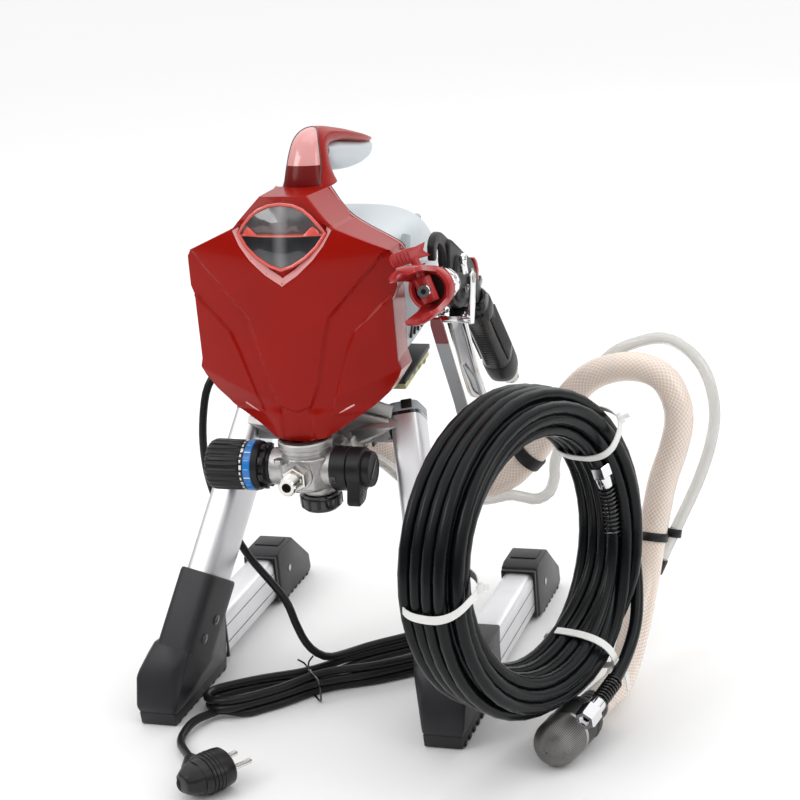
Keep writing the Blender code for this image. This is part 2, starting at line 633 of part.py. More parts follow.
def grip_clearance():
    """The upper grip shell and neck with a little room round them, to cut the lower shell with."""
    room = 1.0
    rings = [oval((0, 150, 457), 14 + room, 14 + room, power=2.4), oval((0, 166, 457), 11.5 + room, 11 + room, power=2.4),
             oval((0, 190, 455.5), 12.5 + room, 9 + room, power=2.4),
             oval((0, 235, 445.5), 13.5 + room, 6.5 + room, power=2.4),
             oval((0, 270, 436.5), 11 + room, 4.0 + room, power=2.4),
             oval((0, 295, 431), 7 + room, 2.5 + room, power=2.4)]
    return loft(rings)


def rear_shroud():
    rings = [oval((0, 137.6, 332), 77, 62, power=4.0, sides=32), oval((0, 200, 332), 75, 61, power=3.6, sides=32),
             oval((0, 250, 329), 70, 55, power=3.2, sides=32), oval((0, 278, 325), 60, 44, power=2.8, sides=32),
             oval((0, 290, 323), 44, 31, power=2.6, sides=32)]
    obj = add("rear_shroud", loft(rings, cap_start=False), GREY)
    shell = obj.modifiers.new("wall", "SOLIDIFY")
    shell.thickness, shell.offset = 2.4 * MM, -1.0
    slots = [box((60, 150 + 9 * k, 300), (90, 154 + 9 * k, 322)) for k in range(4)]
    slots += [box((-90, 150 + 9 * k, 300), (-60, 154 + 9 * k, 322)) for k in range(4)]
    slots += [box((-30, 280, 306 + 10 * k), (30, 300, 311 + 10 * k)) for k in range(4)]
    slots.append(box((-44.6, 130, 262), (44.6, 146.6, 276)))
    cut(obj, *slots, box((-83, 158.5, 257), (-60, 169.5, 272.0)), rod((-90, 205, 300), (-60, 205, 300), 9.7, sides=24))
    return obj


def electrics():
    along = Vector((0, 0.99, 0.12)).normalized()
    across = Vector((1, 0, 0))
    normal = across.cross(along)
    case = turned_box(Vector((22, 184, 259.3)), (across, along, normal), (46, 36, 4.8))
    add("control_board_case", case, BLACK)
    gland = turned([(0, 22), (5.0, 22), (7.5, 4), (10, 3), (10, 0), (0, 0)], (-70, 164, 266), (-1, 0, 0), 24)
    gland = add("cord_gland", gland, BLACK)
    rocker = rod((-79, 205, 300), (-71, 205, 300), 9.2, sides=24)
    switch = add("power_switch", rocker, BLACK, (-75, 205, 300))
    join(switch, hull([(-78.0, 198, 305), (-78.0, 212, 305), (-78.0, 198, 295), (-78.0, 212, 295),
                       (-82.0, 199, 304), (-82.0, 211, 304), (-80.0, 199, 296), (-80.0, 211, 296)]))


# ---------------------------------------------------------------- spray gun
def on_gun(distance, side=0.0, up=0.0):
    """A point on the gun: along its barrel behind the nozzle, to its right, and above the barrel."""
    lift = Vector((0, -GUN_AXIS.z, GUN_AXIS.y))
    return NOZZLE + GUN_AXIS * distance + Vector((side, 0, 0)) + lift * up


def gun():
    body_outline = [(100, 377), (101, 386), (108, 392), (119, 393.5), (131, 388), (194, 350), (199.5, 340),
                    (193, 327), (181, 320), (172, 319), (150, 321), (134, 330), (129.2, 345), (131.8, 362),
                    (128, 374), (118, 384), (111, 383), (107, 375)]
    body = add("gun_body", prism(body_outline, GUN_X - 6.5, GUN_X + 6.5), BLACK)
    join(body, rod(on_gun(57.5), on_gun(96), 10.8, sides=28))
    cut(body, rod((GUN_X - 20, TRIGGER_PIVOT.y, TRIGGER_PIVOT.z), (GUN_X + 20, TRIGGER_PIVOT.y, TRIGGER_PIVOT.z),
                  3.2, sides=20))

    grip_axis = Vector((0, 90, -102)).normalized()
    grip_top = Vector((GUN_X, 199, 317.5))
    grip_front = Vector((0, -0.75, -0.66))
    rings = []
    for distance, wide, deep in ((0, 9, 7), (12, 10.5, 10.5), (20, 12.0, 13.0), (70, 12.5, 13.5), (112, 12.0, 13.5),
                                 (122, 10, 11)):
        centre = grip_top + grip_axis * distance
        ring = []
        for i in range(20):
            angle = 2 * math.pi * i / 20
            ring.append(centre + Vector((1, 0, 0)) * wide * math.cos(angle) + grip_front * deep * math.sin(angle))
        rings.append(ring)
    grip = add("gun_grip", loft(rings), BLACK)
    cut(grip, prism([(y + 0.3, z - 0.3) for y, z in body_outline], GUN_X - 6.9, GUN_X + 6.9),
        prism([(150, 318.6), (199.8, 318.6), (199.8, 345), (150, 345)], GUN_X - 20, GUN_X + 20))

    cap = prism([(194.4, 351), (200.4, 340), (194, 327.5), (199.5, 326), (206.5, 338), (202, 348)],
                GUN_X - 6.0, GUN_X + 6.0)
    add("gun_rear_cap", cap, RED)

    end = grip_top + grip_axis * 122
    way = Vector((0, 0.85, -0.53)).normalized()
    swivel = add("gun_swivel", rod(end + way * 5, end + way * 18, 9.5, sides=6), CHROME)
    join(swivel, rod(end + way * 2.8, end + way * 8, 7.0, sides=20),
         rod(end + way * 17, end + way * 28, 6.8, sides=24))

    guard_path = [(99, 328.3), (104.5, 318), (113, 302), (145, 245), (158, 218), (172, 204), (196, 197), (262, 204.5),
                  (268, 208)]
    guard = add("trigger_guard_strip", prism(ribbon(guard_path, 2.2), GUN_X - 5.5, GUN_X + 5.5), STEEL)

    diffuser = turned([(0, 57.5 - GAP), (12.5, 57.5 - GAP), (13.5, 52), (13.5, 42), (11, 38.5 + GAP), (0, 38.5 + GAP)],
                      NOZZLE, GUN_AXIS, 32)
    diffuser = add("gun_diffuser", diffuser, CHROME)
    cut(guard, rod(on_gun(20), on_gun(70), 14.2, sides=32))

    lock = hull([(x, y, z) for x in (GUN_X - 4, GUN_X + 4) for y, z in
                 ((207, 321.8), (211, 319.5), (221, 323.5), (219, 327.5), (208.5, 326.5))])
    add("trigger_lock", lock, BLACK, (GUN_X, 208.5, 323.5))


def trigger():
    finger_outline = [(141, 319.5), (147, 306), (163, 277), (184, 243), (192, 228), (197, 226.5), (201, 231),
                      (197, 241), (184, 266), (170, 293), (157, 317)]
    obj = add("gun_trigger", prism(finger_outline, GUN_X - 8.5, GUN_X + 8.5), CHROME, TRIGGER_PIVOT)
    plate_outline = [(146, 312), (141, 320), (152, 338), (159, 350), (167, 353), (173, 347), (172, 339), (161, 324),
                     (157, 314)]
    join(obj, box((GUN_X - 13.9, 146, 308), (GUN_X + 13.9, 156, 316)),
         prism(plate_outline, GUN_X - 14, GUN_X - 11.6), prism(plate_outline, GUN_X + 11.6, GUN_X + 14),
         rod((GUN_X - 14.6, TRIGGER_PIVOT.y, TRIGGER_PIVOT.z), (GUN_X + 14.6, TRIGGER_PIVOT.y, TRIGGER_PIVOT.z),
             2.9, sides=20))


def spray_tip():
    """Tip guard with two prongs, and the turnable tip with its flag handle."""
    spread = Vector((0.36, 0, -0.93)).normalized()
    lift = Vector((0, -GUN_AXIS.z, GUN_AXIS.y))
    spread = (spread - GUN_AXIS * spread.dot(GUN_AXIS)).normalized()
    side = GUN_AXIS.cross(spread)
    collar = turned([(11.5, 38.5), (21, 38.5), (21.5, 34), (20, 22), (11.5, 22)], NOZZLE, GUN_AXIS, 36)
    guard = add("tip_guard", collar, RED, NOZZLE)
    for way in (-1, 1):
        points = []
        for distance, near, far, half in ((28, 12, 19, 9), (4, 17, 22.5, 12), (-24, 21.5, 25, 8), (-34, 21, 24, 4)):
            for height in (near, far):
                for reach in (-half, half):
                    points.append(NOZZLE + GUN_AXIS * distance + spread * way * height + side * reach)
        join(guard, hull(points))
    cut(guard, rod(on_gun(-2), on_gun(21.7), 10.5, sides=28), rod(on_gun(24) , on_gun(60), 11.5, sides=28))

    barrel = rod(NOZZLE + GUN_AXIS * 12 - spread * 9, NOZZLE + GUN_AXIS * 12 + spread * 9, 7.0, sides=24)
    tip = add("spray_tip", barrel, RED, NOZZLE + GUN_AXIS * 12)
    stem_top = NOZZLE + GUN_AXIS * 12 - spread * 33
    flag_way = Vector((0.62, 0.75, 0.22)).normalized()
    flag_side = flag_way.cross(spread).normalized()
    join(tip, rod(NOZZLE + GUN_AXIS * 12 - spread * 8, stem_top, 3.6, sides=16),
         rod(NOZZLE + GUN_AXIS * 13, NOZZLE + GUN_AXIS * 2, 3.2, sides=16))
    flag = hull([stem_top - spread * h + flag_way * d + flag_side * s
                 for h in (-3, 4) for d, s in ((-26, -4), (-26, 4), (-10, -3.5), (-10, 3.5), (5, -5.0), (5, 5.0))])
    join(tip, flag)
    cut(guard, rod(NOZZLE + GUN_AXIS * 12 - spread * 60, NOZZLE + GUN_AXIS * 12 - spread * 10, 4.2, sides=20))


def gun_holder():
    """A bent bracket on the shroud's side that the gun's body rests in."""
    arm = box((76.3, 176, 322), (100, 192, 326))
    obj = add("gun_holder", arm, STEEL)
    join(obj, box((76.3, 176, 322), (78.8, 192, 350)), box((99, 176.5, 322), (107.5, 183, 326)),
         box((104.5, 176.5, 314.5), (107.5, 183, 325.5)), box((104.5, 176.5, 314.5), (124.5, 183, 318.4)),
         box((122.0, 176.5, 314.5), (124.5, 183, 325)))


# ---------------------------------------------------------------- hoses, strainer and cord
def coil_axes():
    normal = Vector((math.sin(COIL_TURN) * math.cos(COIL_LEAN), -math.cos(COIL_TURN) * math.cos(COIL_LEAN),
                     math.sin(COIL_LEAN)))
    level = Vector((math.cos(COIL_TURN), math.sin(COIL_TURN), 0))
    return normal, level, normal.cross(level)


def pressure_hose():
    """The coiled high-pressure hose as one turned ring, and its end nut."""
    normal, level, upward = coil_axes()
    section = []
    for i in range(16):
        angle = 2 * math.pi * (i + 0.5) / 16
        c, s = math.cos(angle), math.sin(angle)
        section.append((COIL_RADIUS + COIL_HALF_THICK * math.copysign(abs(c) ** 0.7, c),
                        COIL_HALF_WIDTH * math.copysign(abs(s) ** 0.7, s)))
    add("high_pressure_hose_coil", turned(section, COIL_CENTRE, normal, 56), RUBBER)
    nut_start = Vector((248.7, 20.0, 41.5))
    nut_way = Vector((-0.25, -0.93, -0.2)).normalized()
    nut = add("hose_end_nut", rod(nut_start + nut_way * 8, nut_start + nut_way * 24, 8.5, sides=6), CHROME)
    join(nut, rod(nut_start, nut_start + nut_way * 10, 6.5, sides=20))


def suction_set():
    tube("suction_hose", SUCTION_ROUTE, SUCTION_RADIUS, BRAID, 15, 3)
    tube("return_tube", RETURN_ROUTE, RETURN_RADIUS, CLEAR, 13, 2)
    rear = Vector((234.9, 57.6, 18.5))
    way = Vector((-0.216, -0.976, 0)).normalized()
    body = turned([(0, 47), (18.2, 47), (18.2, 24), (15.5, 18), (12.5, 14), (12.5, 0), (0, 0)], rear, way, 28)
    add("strainer_body", body, BLACK)
    mesh_profile = [(0, 84)]
    for step in range(1, 6):
        angle = math.radians(90 - 18 * step)
        mesh_profile.append((18.4 * math.cos(angle), 66 + 18 * math.sin(angle)))
    mesh_profile += [(18.4, 47 + GAP), (0, 47 + GAP)]
    add("strainer_mesh", turned(mesh_profile, rear, way, 28), STEEL)


def power_cord():
    tube("power_cord_drop", CORD_DROP_ROUTE, CORD_RADIUS, RUBBER, 8.5)
    tube("power_cord_tail", CORD_TAIL_ROUTE, CORD_RADIUS, RUBBER, 8.5)
    along = (HANK_END - HANK_START).normalized()
    across = Vector((-along.y, along.x))
    outline = []
    for centre, start in ((HANK_START, math.pi / 2), (HANK_END, -math.pi / 2)):
        for step in range(9):
            angle = start + math.pi * step / 8
            outline.append(centre + (along * math.cos(angle) + across * math.sin(angle)) * HANK_HALF_WIDTH)
    ring_low = [Vector((p.x, p.y, 0.4)) for p in outline]
    ring_high = [Vector((p.x, p.y, HANK_HEIGHT - 0.6)) for p in outline]
    add("power_cord_hank", loft([ring_low, ring_high]), RUBBER)


def mains_plug():
    """An angled two-pin plug; its pins stick out along PLUG_PIN_DIRECTION."""
    pins = PLUG_PIN_DIRECTION
    side = Vector((pins.y, -pins.x, 0))
    face = PLUG_CENTRE + pins * 13
    body = add("mains_plug", rod(face, face - pins * 14, 17.5, 18.5, sides=32), BLACK)
    join(body, hull([face - pins * d + side * s + Vector((0, 0, h)) for d, s, h in
                     ((12, -15, -14), (12, 15, -14), (12, -15, 14), (12, 15, 14), (30, -12, -11), (30, 12, -11),
                      (30, -12, 10), (30, 12, 10))]))
    for way in (-1, 1):
        root = face + side * way * 9.5
        join(body, rod(root - pins * 2, root + pins * 19, 2.4, sides=16))
    relief_end = Vector((-63.2, -67.2, 12.2))
    join(body, rod(PLUG_CENTRE - pins * 8, relief_end, 9.0, 4.4, sides=20))
    cut(body, box((-120, -160, -30), (60, 0, 0.4)))


def build():
    stand()
    chassis()
    motor()
    crank()
    pump()
    controls()
    front_cover()
    emblem_window()
    handle()
    rear_shroud()
    electrics()
    gun()
    trigger()
    spray_tip()
    gun_holder()
    pressure_hose()
    suction_set()
    power_cord()
    mains_plug()


build()
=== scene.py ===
"""Looks of the airless paint sprayer: shapes in machine millimetres (X right, Y rearward, Z up)."""

import math
import random

import bmesh
import bpy
from mathutils import Matrix, Vector

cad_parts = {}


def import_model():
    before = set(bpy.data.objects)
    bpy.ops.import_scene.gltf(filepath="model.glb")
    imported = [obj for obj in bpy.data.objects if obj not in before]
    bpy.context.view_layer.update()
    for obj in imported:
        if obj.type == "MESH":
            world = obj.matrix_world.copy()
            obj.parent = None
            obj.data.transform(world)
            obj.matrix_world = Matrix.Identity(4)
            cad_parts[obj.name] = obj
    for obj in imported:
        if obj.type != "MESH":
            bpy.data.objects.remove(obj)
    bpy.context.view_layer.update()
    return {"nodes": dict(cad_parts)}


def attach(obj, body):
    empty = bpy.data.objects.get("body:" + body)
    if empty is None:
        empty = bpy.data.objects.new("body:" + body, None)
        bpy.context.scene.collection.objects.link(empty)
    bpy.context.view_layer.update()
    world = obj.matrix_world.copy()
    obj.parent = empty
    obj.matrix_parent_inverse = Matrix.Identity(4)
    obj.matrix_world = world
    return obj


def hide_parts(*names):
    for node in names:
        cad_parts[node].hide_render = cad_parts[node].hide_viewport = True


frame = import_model()
NODES = frame["nodes"]
MM = 0.001
ORIGIN_Y = 162.85
TWO_PI = 2 * math.pi
X_WAY, Y_WAY, Z_WAY = Vector((1, 0, 0)), Vector((0, 1, 0)), Vector((0, 0, 1))
SIDES = (-1, 1)

# the camera, found from the stand's parallel edges: place in mm, angles in degrees, lens and sensor in mm
CAMERA_PLACE = (599.1, -1352.0, 777.9)
CAMERA_AZIMUTH, CAMERA_ELEVATION, CAMERA_ROLL = 19.7, 18.6, 5.1
CAMERA_LENS, CAMERA_SENSOR = 90.9, 36.0
FLOOR_Z, FLOOR_REACH = -0.0003, 9


def world(point):
    """A machine place in mm as a place in the shared frame, in metres."""
    return Vector((point[0] * MM, (point[1] - ORIGIN_Y) * MM, point[2] * MM))


def add(tree, kind, inputs, **settings):
    """A shader node with its settings; each input is given a value or linked from another node's output."""
    made = tree.nodes.new("ShaderNode" + kind)
    for name, value in settings.items():
        setattr(made, name, value)
    for name, value in inputs.items():
        if isinstance(value, bpy.types.NodeSocket):
            tree.links.new(value, made.inputs[name])
        else:
            made.inputs[name].default_value = value
    return made


def span(tree, value, low, high, first=0.0, last=1.0, **settings):
    """A value between low and high carried over to between first and last."""
    return add(tree, "MapRange", {"Value": value, "From Min": low, "From Max": high, "To Min": first, "To Max": last},
               **settings).outputs["Result"]


# ---------------------------------------------------------------- camera, floor and light
def set_camera():
    azimuth, elevation, roll = map(math.radians, (CAMERA_AZIMUTH, CAMERA_ELEVATION, CAMERA_ROLL))
    ahead = Vector((-math.sin(azimuth) * math.cos(elevation), math.cos(azimuth) * math.cos(elevation),
                    -math.sin(elevation)))
    right = Vector((math.cos(azimuth), math.sin(azimuth), 0.0))
    up = right.cross(ahead)
    turned_right = right * math.cos(roll) - up * math.sin(roll)
    turned_up = right * math.sin(roll) + up * math.cos(roll)
    data = bpy.data.cameras.new("camera")
    data.lens, data.sensor_width, data.clip_start, data.clip_end = CAMERA_LENS, CAMERA_SENSOR, 0.05, 50.0
    camera = bpy.data.objects.new("camera", data)
    camera.matrix_world = Matrix.Translation(world(CAMERA_PLACE)) @ Matrix(
        (turned_right, turned_up, -ahead)).transposed().to_4x4()
    bpy.context.scene.collection.objects.link(camera)
    bpy.context.scene.camera = camera


def area_light(name, place, target, size, energy, tall=None):
    data = bpy.data.lights.new(name, "AREA")
    data.shape = "RECTANGLE"
    data.size, data.size_y, data.energy = size, tall or size, energy
    lamp = bpy.data.objects.new(name, data)
    lamp.location = place
    lamp.rotation_euler = (Vector(target) - Vector(place)).to_track_quat("-Z", "Y").to_euler()
    bpy.context.scene.collection.objects.link(lamp)


def set_studio():
    scene = bpy.context.scene
    surround = bpy.data.worlds.new("studio")
    surround.use_nodes = True
    tree = surround.node_tree
    split = add(tree, "SeparateXYZ", {"Vector": add(tree, "TexCoord", {}).outputs["Generated"]})
    height = add(tree, "Math", {0: split.outputs["Y"], 1: 0.25, 2: split.outputs["Z"]}, operation="MULTIPLY_ADD")
    background = tree.nodes["Background"]
    tree.links.new(span(tree, height.outputs[0], -0.05, 0.60, 0.10, 1.12, interpolation_type="SMOOTHSTEP"),
                   background.inputs["Strength"])
    background.inputs["Color"].default_value = (1.0, 1.0, 1.0, 1.0)
    scene.world = surround
    scene.view_settings.view_transform = "Standard"
    area_light("key", (-1.5, -1.5, 1.9), (0, 0, 0.2), 0.9, 10.0)
    area_light("side", (2.0, -0.5, 1.2), (0.1, 0, 0.2), 0.7, 6.0, 1.3)
    area_light("top", (0.1, 0.3, 2.3), (0, 0, 0.2), 1.8, 7.0)
    area_light("back", (0.6, 2.0, 1.3), (0, 0, 0.3), 1.3, 4.0)
    mesh = bpy.data.meshes.new("floor")
    corners = [(x * FLOOR_REACH, y * FLOOR_REACH, FLOOR_Z) for x, y in ((-1, -1), (1, -1), (1, 1), (-1, 1))]
    mesh.from_pydata(corners, [], [(0, 1, 2, 3)])
    floor = bpy.data.objects.new("floor", mesh)
    floor.data.materials.append(finish("floor_white", (0.93, 0.93, 0.93), 0.6, grain=6, bump=0.0, tint=0.01))
    scene.collection.objects.link(floor)


# ---------------------------------------------------------------- materials
MADE = {}


def finish(name, colour, roughness, metallic=0.0, coat=0.0, grain=900.0, bump=0.15, tint=0.08, spread=0.08,
           stretch=(1, 1, 1), depth=0.0004, transmission=0.0, subsurface=0.0, ior=1.5, gloss=0.5):
    """A material with mottled colour, uneven gloss and a fine surface texture."""
    if name in MADE:
        return MADE[name]
    made = bpy.data.materials.new(name)
    made.use_nodes = True
    tree = made.node_tree
    shader = tree.nodes["Principled BSDF"]
    place = add(tree, "TexCoord", {}).outputs["Object"]
    place = add(tree, "Mapping", {"Vector": place, "Scale": stretch}).outputs["Vector"]
    broad = add(tree, "TexNoise", {"Vector": place, "Scale": grain / 25, "Detail": 4.0}).outputs["Fac"]
    ramp = add(tree, "ValToRGB", {"Fac": broad})
    low, high = ramp.color_ramp.elements
    low.position, high.position = 0.3, 0.7
    low.color = (*[c * (1 - tint) for c in colour], 1)
    high.color = (*[min(1.0, c * (1 + tint)) for c in colour], 1)
    tree.links.new(ramp.outputs["Color"], shader.inputs["Base Color"])
    fine = add(tree, "TexNoise", {"Vector": place, "Scale": grain, "Detail": 3.0})
    uneven = span(tree, broad, 0.0, 1.0, max(0.02, roughness - spread), min(1.0, roughness + spread))
    tree.links.new(uneven, shader.inputs["Roughness"])
    if bump > 0:
        relief = add(tree, "Bump", {"Strength": bump, "Distance": depth, "Height": fine.outputs["Fac"]})
        tree.links.new(relief.outputs["Normal"], shader.inputs["Normal"])
    for socket, value in (("Specular IOR Level", gloss), ("Metallic", metallic), ("Coat Weight", coat),
                          ("Coat Roughness", 0.06), ("Transmission Weight", transmission), ("IOR", ior),
                          ("Subsurface Weight", subsurface), ("Subsurface Radius", (0.01, 0.006, 0.004))):
        shader.inputs[socket].default_value = value
    MADE[name] = made
    return made


def recolour(made, build):
    """Runs the colour a finish already has through more nodes, which build(tree, plain colour) makes."""
    tree = made.node_tree
    target = tree.nodes["Principled BSDF"].inputs["Base Color"]
    tree.links.new(build(tree, target.links[0].from_socket), target)
    return made


def mixed(tree, share, first, second, blend="MIX"):
    return add(tree, "Mix", {"Factor": share, "A": first, "B": second}, data_type="RGBA",
               blend_type=blend).outputs["Result"]


def braid_finish():
    """Beige translucent hose wall with a white diamond braid, laid out in the tube's own UV millimetres."""
    def threads(tree, plain):
        split = add(tree, "SeparateXYZ", {"Vector": add(tree, "TexCoord", {}).outputs["UV"]})
        lines = []
        for operation in ("ADD", "SUBTRACT"):
            across = add(tree, "Math", {0: split.outputs["X"], 1: split.outputs["Y"]}, operation=operation)
            fraction = add(tree, "Math", {0: across.outputs[0], 1: 0.5}, operation="PINGPONG")
            lines.append(span(tree, fraction.outputs[0], 0.07, 0.13, 1.0, 0.0))
        both = add(tree, "Math", {0: lines[0], 1: lines[1]}, operation="MAXIMUM")
        return mixed(tree, both.outputs[0], plain, (0.97, 0.93, 0.88, 1.0))

    return recolour(finish("braided_hose", (0.82, 0.64, 0.52), 0.28, coat=0.5, grain=500, bump=0.05, subsurface=0.25),
                    threads)


def striped_finish(name, colour, dark, roughness, width, metallic=0.0):
    """A finish with fine parallel ribs across the first UV direction."""
    def ribs(tree, plain):
        split = add(tree, "SeparateXYZ", {"Vector": add(tree, "TexCoord", {}).outputs["UV"]})
        wave = add(tree, "Math", {0: split.outputs["X"], 1: width}, operation="PINGPONG")
        level = span(tree, wave.outputs[0], 0.0, width)
        relief = add(tree, "Bump", {"Strength": 0.6, "Distance": 0.0006, "Height": level})
        tree.links.new(relief.outputs["Normal"], tree.nodes["Principled BSDF"].inputs["Normal"])
        return mixed(tree, level, (*dark, 1.0), plain)

    return recolour(finish(name, colour, roughness, metallic, grain=1500, bump=0.0), ribs)


def lens_finish():
    """Near-black smoked lens with painted light: paler towards the top as a painted reflection, a painted red glow line
    across the middle, and a painted highlight streak down the centre.
    """
    def smoke(tree, _):
        place = add(tree, "TexCoord", {}).outputs["Object"]
        split = add(tree, "SeparateXYZ", {"Vector": place})
        squeeze = add(tree, "Mapping", {"Vector": place, "Scale": (1.0, 1.0, 0.25)})
        cloud = add(tree, "TexNoise", {"Vector": squeeze.outputs["Vector"], "Scale": 55.0})
        # Colour by height: near black below, a painted red glow line across the middle, paler towards the top as a
        # painted reflection.
        smoke_and_painted_bands = add(tree, "ValToRGB", {"Fac": span(tree, split.outputs["Z"], 0.377, 0.427)})
        ramp = smoke_and_painted_bands.color_ramp
        ramp.elements[0].color = (0.045, 0.047, 0.052, 1)
        ramp.elements[1].color = (0.16, 0.16, 0.165, 1)
        for position, colour in ((0.30, (0.030, 0.031, 0.034)), (0.42, (0.020, 0.020, 0.022)),
                                 (0.472, (0.022, 0.020, 0.022)), (0.480, (0.80, 0.22, 0.17)),
                                 (0.500, (0.62, 0.12, 0.09)), (0.525, (0.12, 0.07, 0.07)),
                                 (0.75, (0.085, 0.085, 0.09))):
            ramp.elements.new(position).color = (*colour, 1)
        clouded = mixed(tree, 0.9, smoke_and_painted_bands.outputs["Color"], cloud.outputs["Fac"], "SOFT_LIGHT")
        # A painted highlight streak down the lens's centre line, added over that colour.
        away = add(tree, "Math", {0: split.outputs["X"]}, operation="ABSOLUTE")
        painted_streak = span(tree, away.outputs[0], 0.0, 0.008, 0.26, 0.0, interpolation_type="SMOOTHSTEP")
        return mixed(tree, painted_streak, clouded, (0.55, 0.53, 0.54, 1.0), "ADD")

    return recolour(finish("smoked_lens", (0.05, 0.05, 0.055), 0.12, coat=0.8, grain=160, bump=0.0, tint=0.3), smoke)


RED = finish("red_gloss", (0.34, 0.007, 0.003), 0.24, coat=0.10, gloss=0.12, grain=500, bump=0.02, tint=0.05,
             spread=0.04)
# Darker copy of the cover red: painted shade under the cover's chin, in the groove round the lens and on the lower part
# of the handle's front inlay.
RED_PAINTED_SHADE = finish("red_painted_shade", (0.17, 0.003, 0.003), 0.25, coat=0.1, gloss=0.15, grain=500, bump=0.02, tint=0.06,
                  spread=0.04)
# Pale pink copy of the cover red: painted highlight on the crest and chin ridge lines, on the chevron band under the
# lens and on the upper part of the handle's front inlay.
RED_PAINTED_HIGHLIGHT = finish("red_painted_highlight", (0.78, 0.33, 0.32), 0.18, coat=0.9, grain=400, bump=0.01, tint=0.05, spread=0.03)
RIM = finish("red_rim", (0.80, 0.10, 0.08), 0.2, coat=0.7, grain=500, bump=0.02, tint=0.05)
GUN_RED = finish("gun_red", (0.42, 0.020, 0.020), 0.28, coat=0.25, gloss=0.3, grain=900, bump=0.05, tint=0.08)
GREY = finish("shroud_grey", (0.58, 0.63, 0.66), 0.38, grain=1400, bump=0.12, tint=0.03)
GREY_DARK = finish("recess_grey", (0.42, 0.47, 0.49), 0.5, grain=1400, bump=0.12, tint=0.04)
BLACK = finish("black_moulding", (0.012, 0.012, 0.013), 0.36, gloss=0.35, grain=1500, bump=0.18, tint=0.15)
BLACK_GLOSS = finish("black_gloss", (0.012, 0.012, 0.013), 0.16, coat=0.4, grain=900, bump=0.04, tint=0.15)
BOOT = finish("boot_charcoal", (0.020, 0.020, 0.023), 0.38, gloss=0.35, grain=1300, bump=0.25, tint=0.12)
HOSE = finish("hose_black", (0.004, 0.005, 0.006), 0.27, coat=0.03, gloss=0.22, grain=700, bump=0.08, tint=0.2)
CORD = finish("cord_black", (0.010, 0.010, 0.011), 0.34, gloss=0.3, grain=900, bump=0.1, tint=0.15)
ALUMINIUM = finish("leg_aluminium", (0.78, 0.78, 0.80), 0.40, 0.9, grain=800, bump=0.05, tint=0.05,
                   stretch=(1, 1, 0.06))
CAST = finish("cast_alloy", (0.56, 0.55, 0.54), 0.40, 1.0, grain=1100, bump=0.4, tint=0.12, depth=0.0007)
CHROME = finish("bright_chrome", (0.82, 0.82, 0.84), 0.09, 1.0, grain=300, bump=0.02, tint=0.04, spread=0.04)
STEEL = finish("brushed_steel", (0.50, 0.49, 0.47), 0.34, 1.0, grain=900, bump=0.12, tint=0.1, stretch=(1, 0.1, 0.1))
DARK_STEEL = finish("dark_steel", (0.20, 0.20, 0.21), 0.35, 1.0, grain=900, bump=0.1, tint=0.1)
BLUE = finish("ring_blue", (0.01, 0.20, 0.62), 0.3, coat=0.3, grain=700, bump=0.05, tint=0.08)
SILVER = finish("silver_mark", (0.75, 0.76, 0.78), 0.3, 0.6, grain=900, bump=0.05, tint=0.05)
NYLON = finish("white_nylon", (0.86, 0.86, 0.84), 0.4, grain=900, bump=0.05, tint=0.03, subsurface=0.2)
BOARD = finish("board_potting", (0.72, 0.68, 0.36), 0.5, grain=700, bump=0.2, tint=0.12)
CLEAR = finish("clear_tube", (0.80, 0.79, 0.76), 0.09, coat=0.6, grain=500, bump=0.02, tint=0.06, transmission=0.62,
               ior=1.45)
BOARD_DARK = finish("board_groove", (0.36, 0.33, 0.16), 0.5, grain=700, bump=0.1, tint=0.1)
RUBBER_FINISH = finish("gland_rubber", (0.016, 0.016, 0.017), 0.55, grain=900, bump=0.2, tint=0.15)
CHROME_WARM = finish("nickel_plate", (0.74, 0.72, 0.68), 0.16, 1.0, grain=500, bump=0.08, tint=0.06)
BLUE_PALE = finish("ring_light_blue", (0.20, 0.50, 0.82), 0.3, coat=0.3, grain=700, bump=0.05, tint=0.08)
BRAID_END = finish("hose_cut_end", (0.86, 0.76, 0.68), 0.4, grain=500, bump=0.05, tint=0.04, subsurface=0.2)
BLACK_MATTE = finish("strainer_plastic", (0.035, 0.035, 0.037), 0.5, grain=1500, bump=0.2, tint=0.12)
PIN = finish("pin_bright", (0.78, 0.77, 0.74), 0.22, 1.0, grain=500, bump=0.03, tint=0.05)
CORD_PLUG = finish("plug_black", (0.012, 0.012, 0.014), 0.32, gloss=0.35, grain=1100, bump=0.12, tint=0.15)
GUN_BLACK = finish("gun_black", (0.011, 0.011, 0.012), 0.40, gloss=0.3, grain=1500, bump=0.3, tint=0.15)
GUN_GLOSS = finish("gun_gloss", (0.008, 0.008, 0.009), 0.22, coat=0.1, gloss=0.35, grain=900, bump=0.06, tint=0.15)
GRIP_RUBBER = finish("grip_rubber", (0.022, 0.022, 0.023), 0.55, grain=1600, bump=0.25, tint=0.2)
# Dark red for the guard strip's upper end: painted reflection of the red tip guard.
STRIP_PAINTED_REFLECTION = finish("strip_red_painted_reflection", (0.20, 0.02, 0.025), 0.3, coat=0.3, grain=800, bump=0.05, tint=0.1)
STRIP_GREY = finish("strip_grey", (0.42, 0.43, 0.44), 0.38, 0.9, grain=900, bump=0.1, tint=0.06)
POLISHED = finish("polished_lever", (0.80, 0.80, 0.81), 0.07, 1.0, grain=200, bump=0.02, tint=0.04, spread=0.04)
BRAID = braid_finish()
MESH = striped_finish("strainer_wire", (0.33, 0.32, 0.31), (0.07, 0.07, 0.068), 0.42, 0.35, 0.8)
LENS = lens_finish()


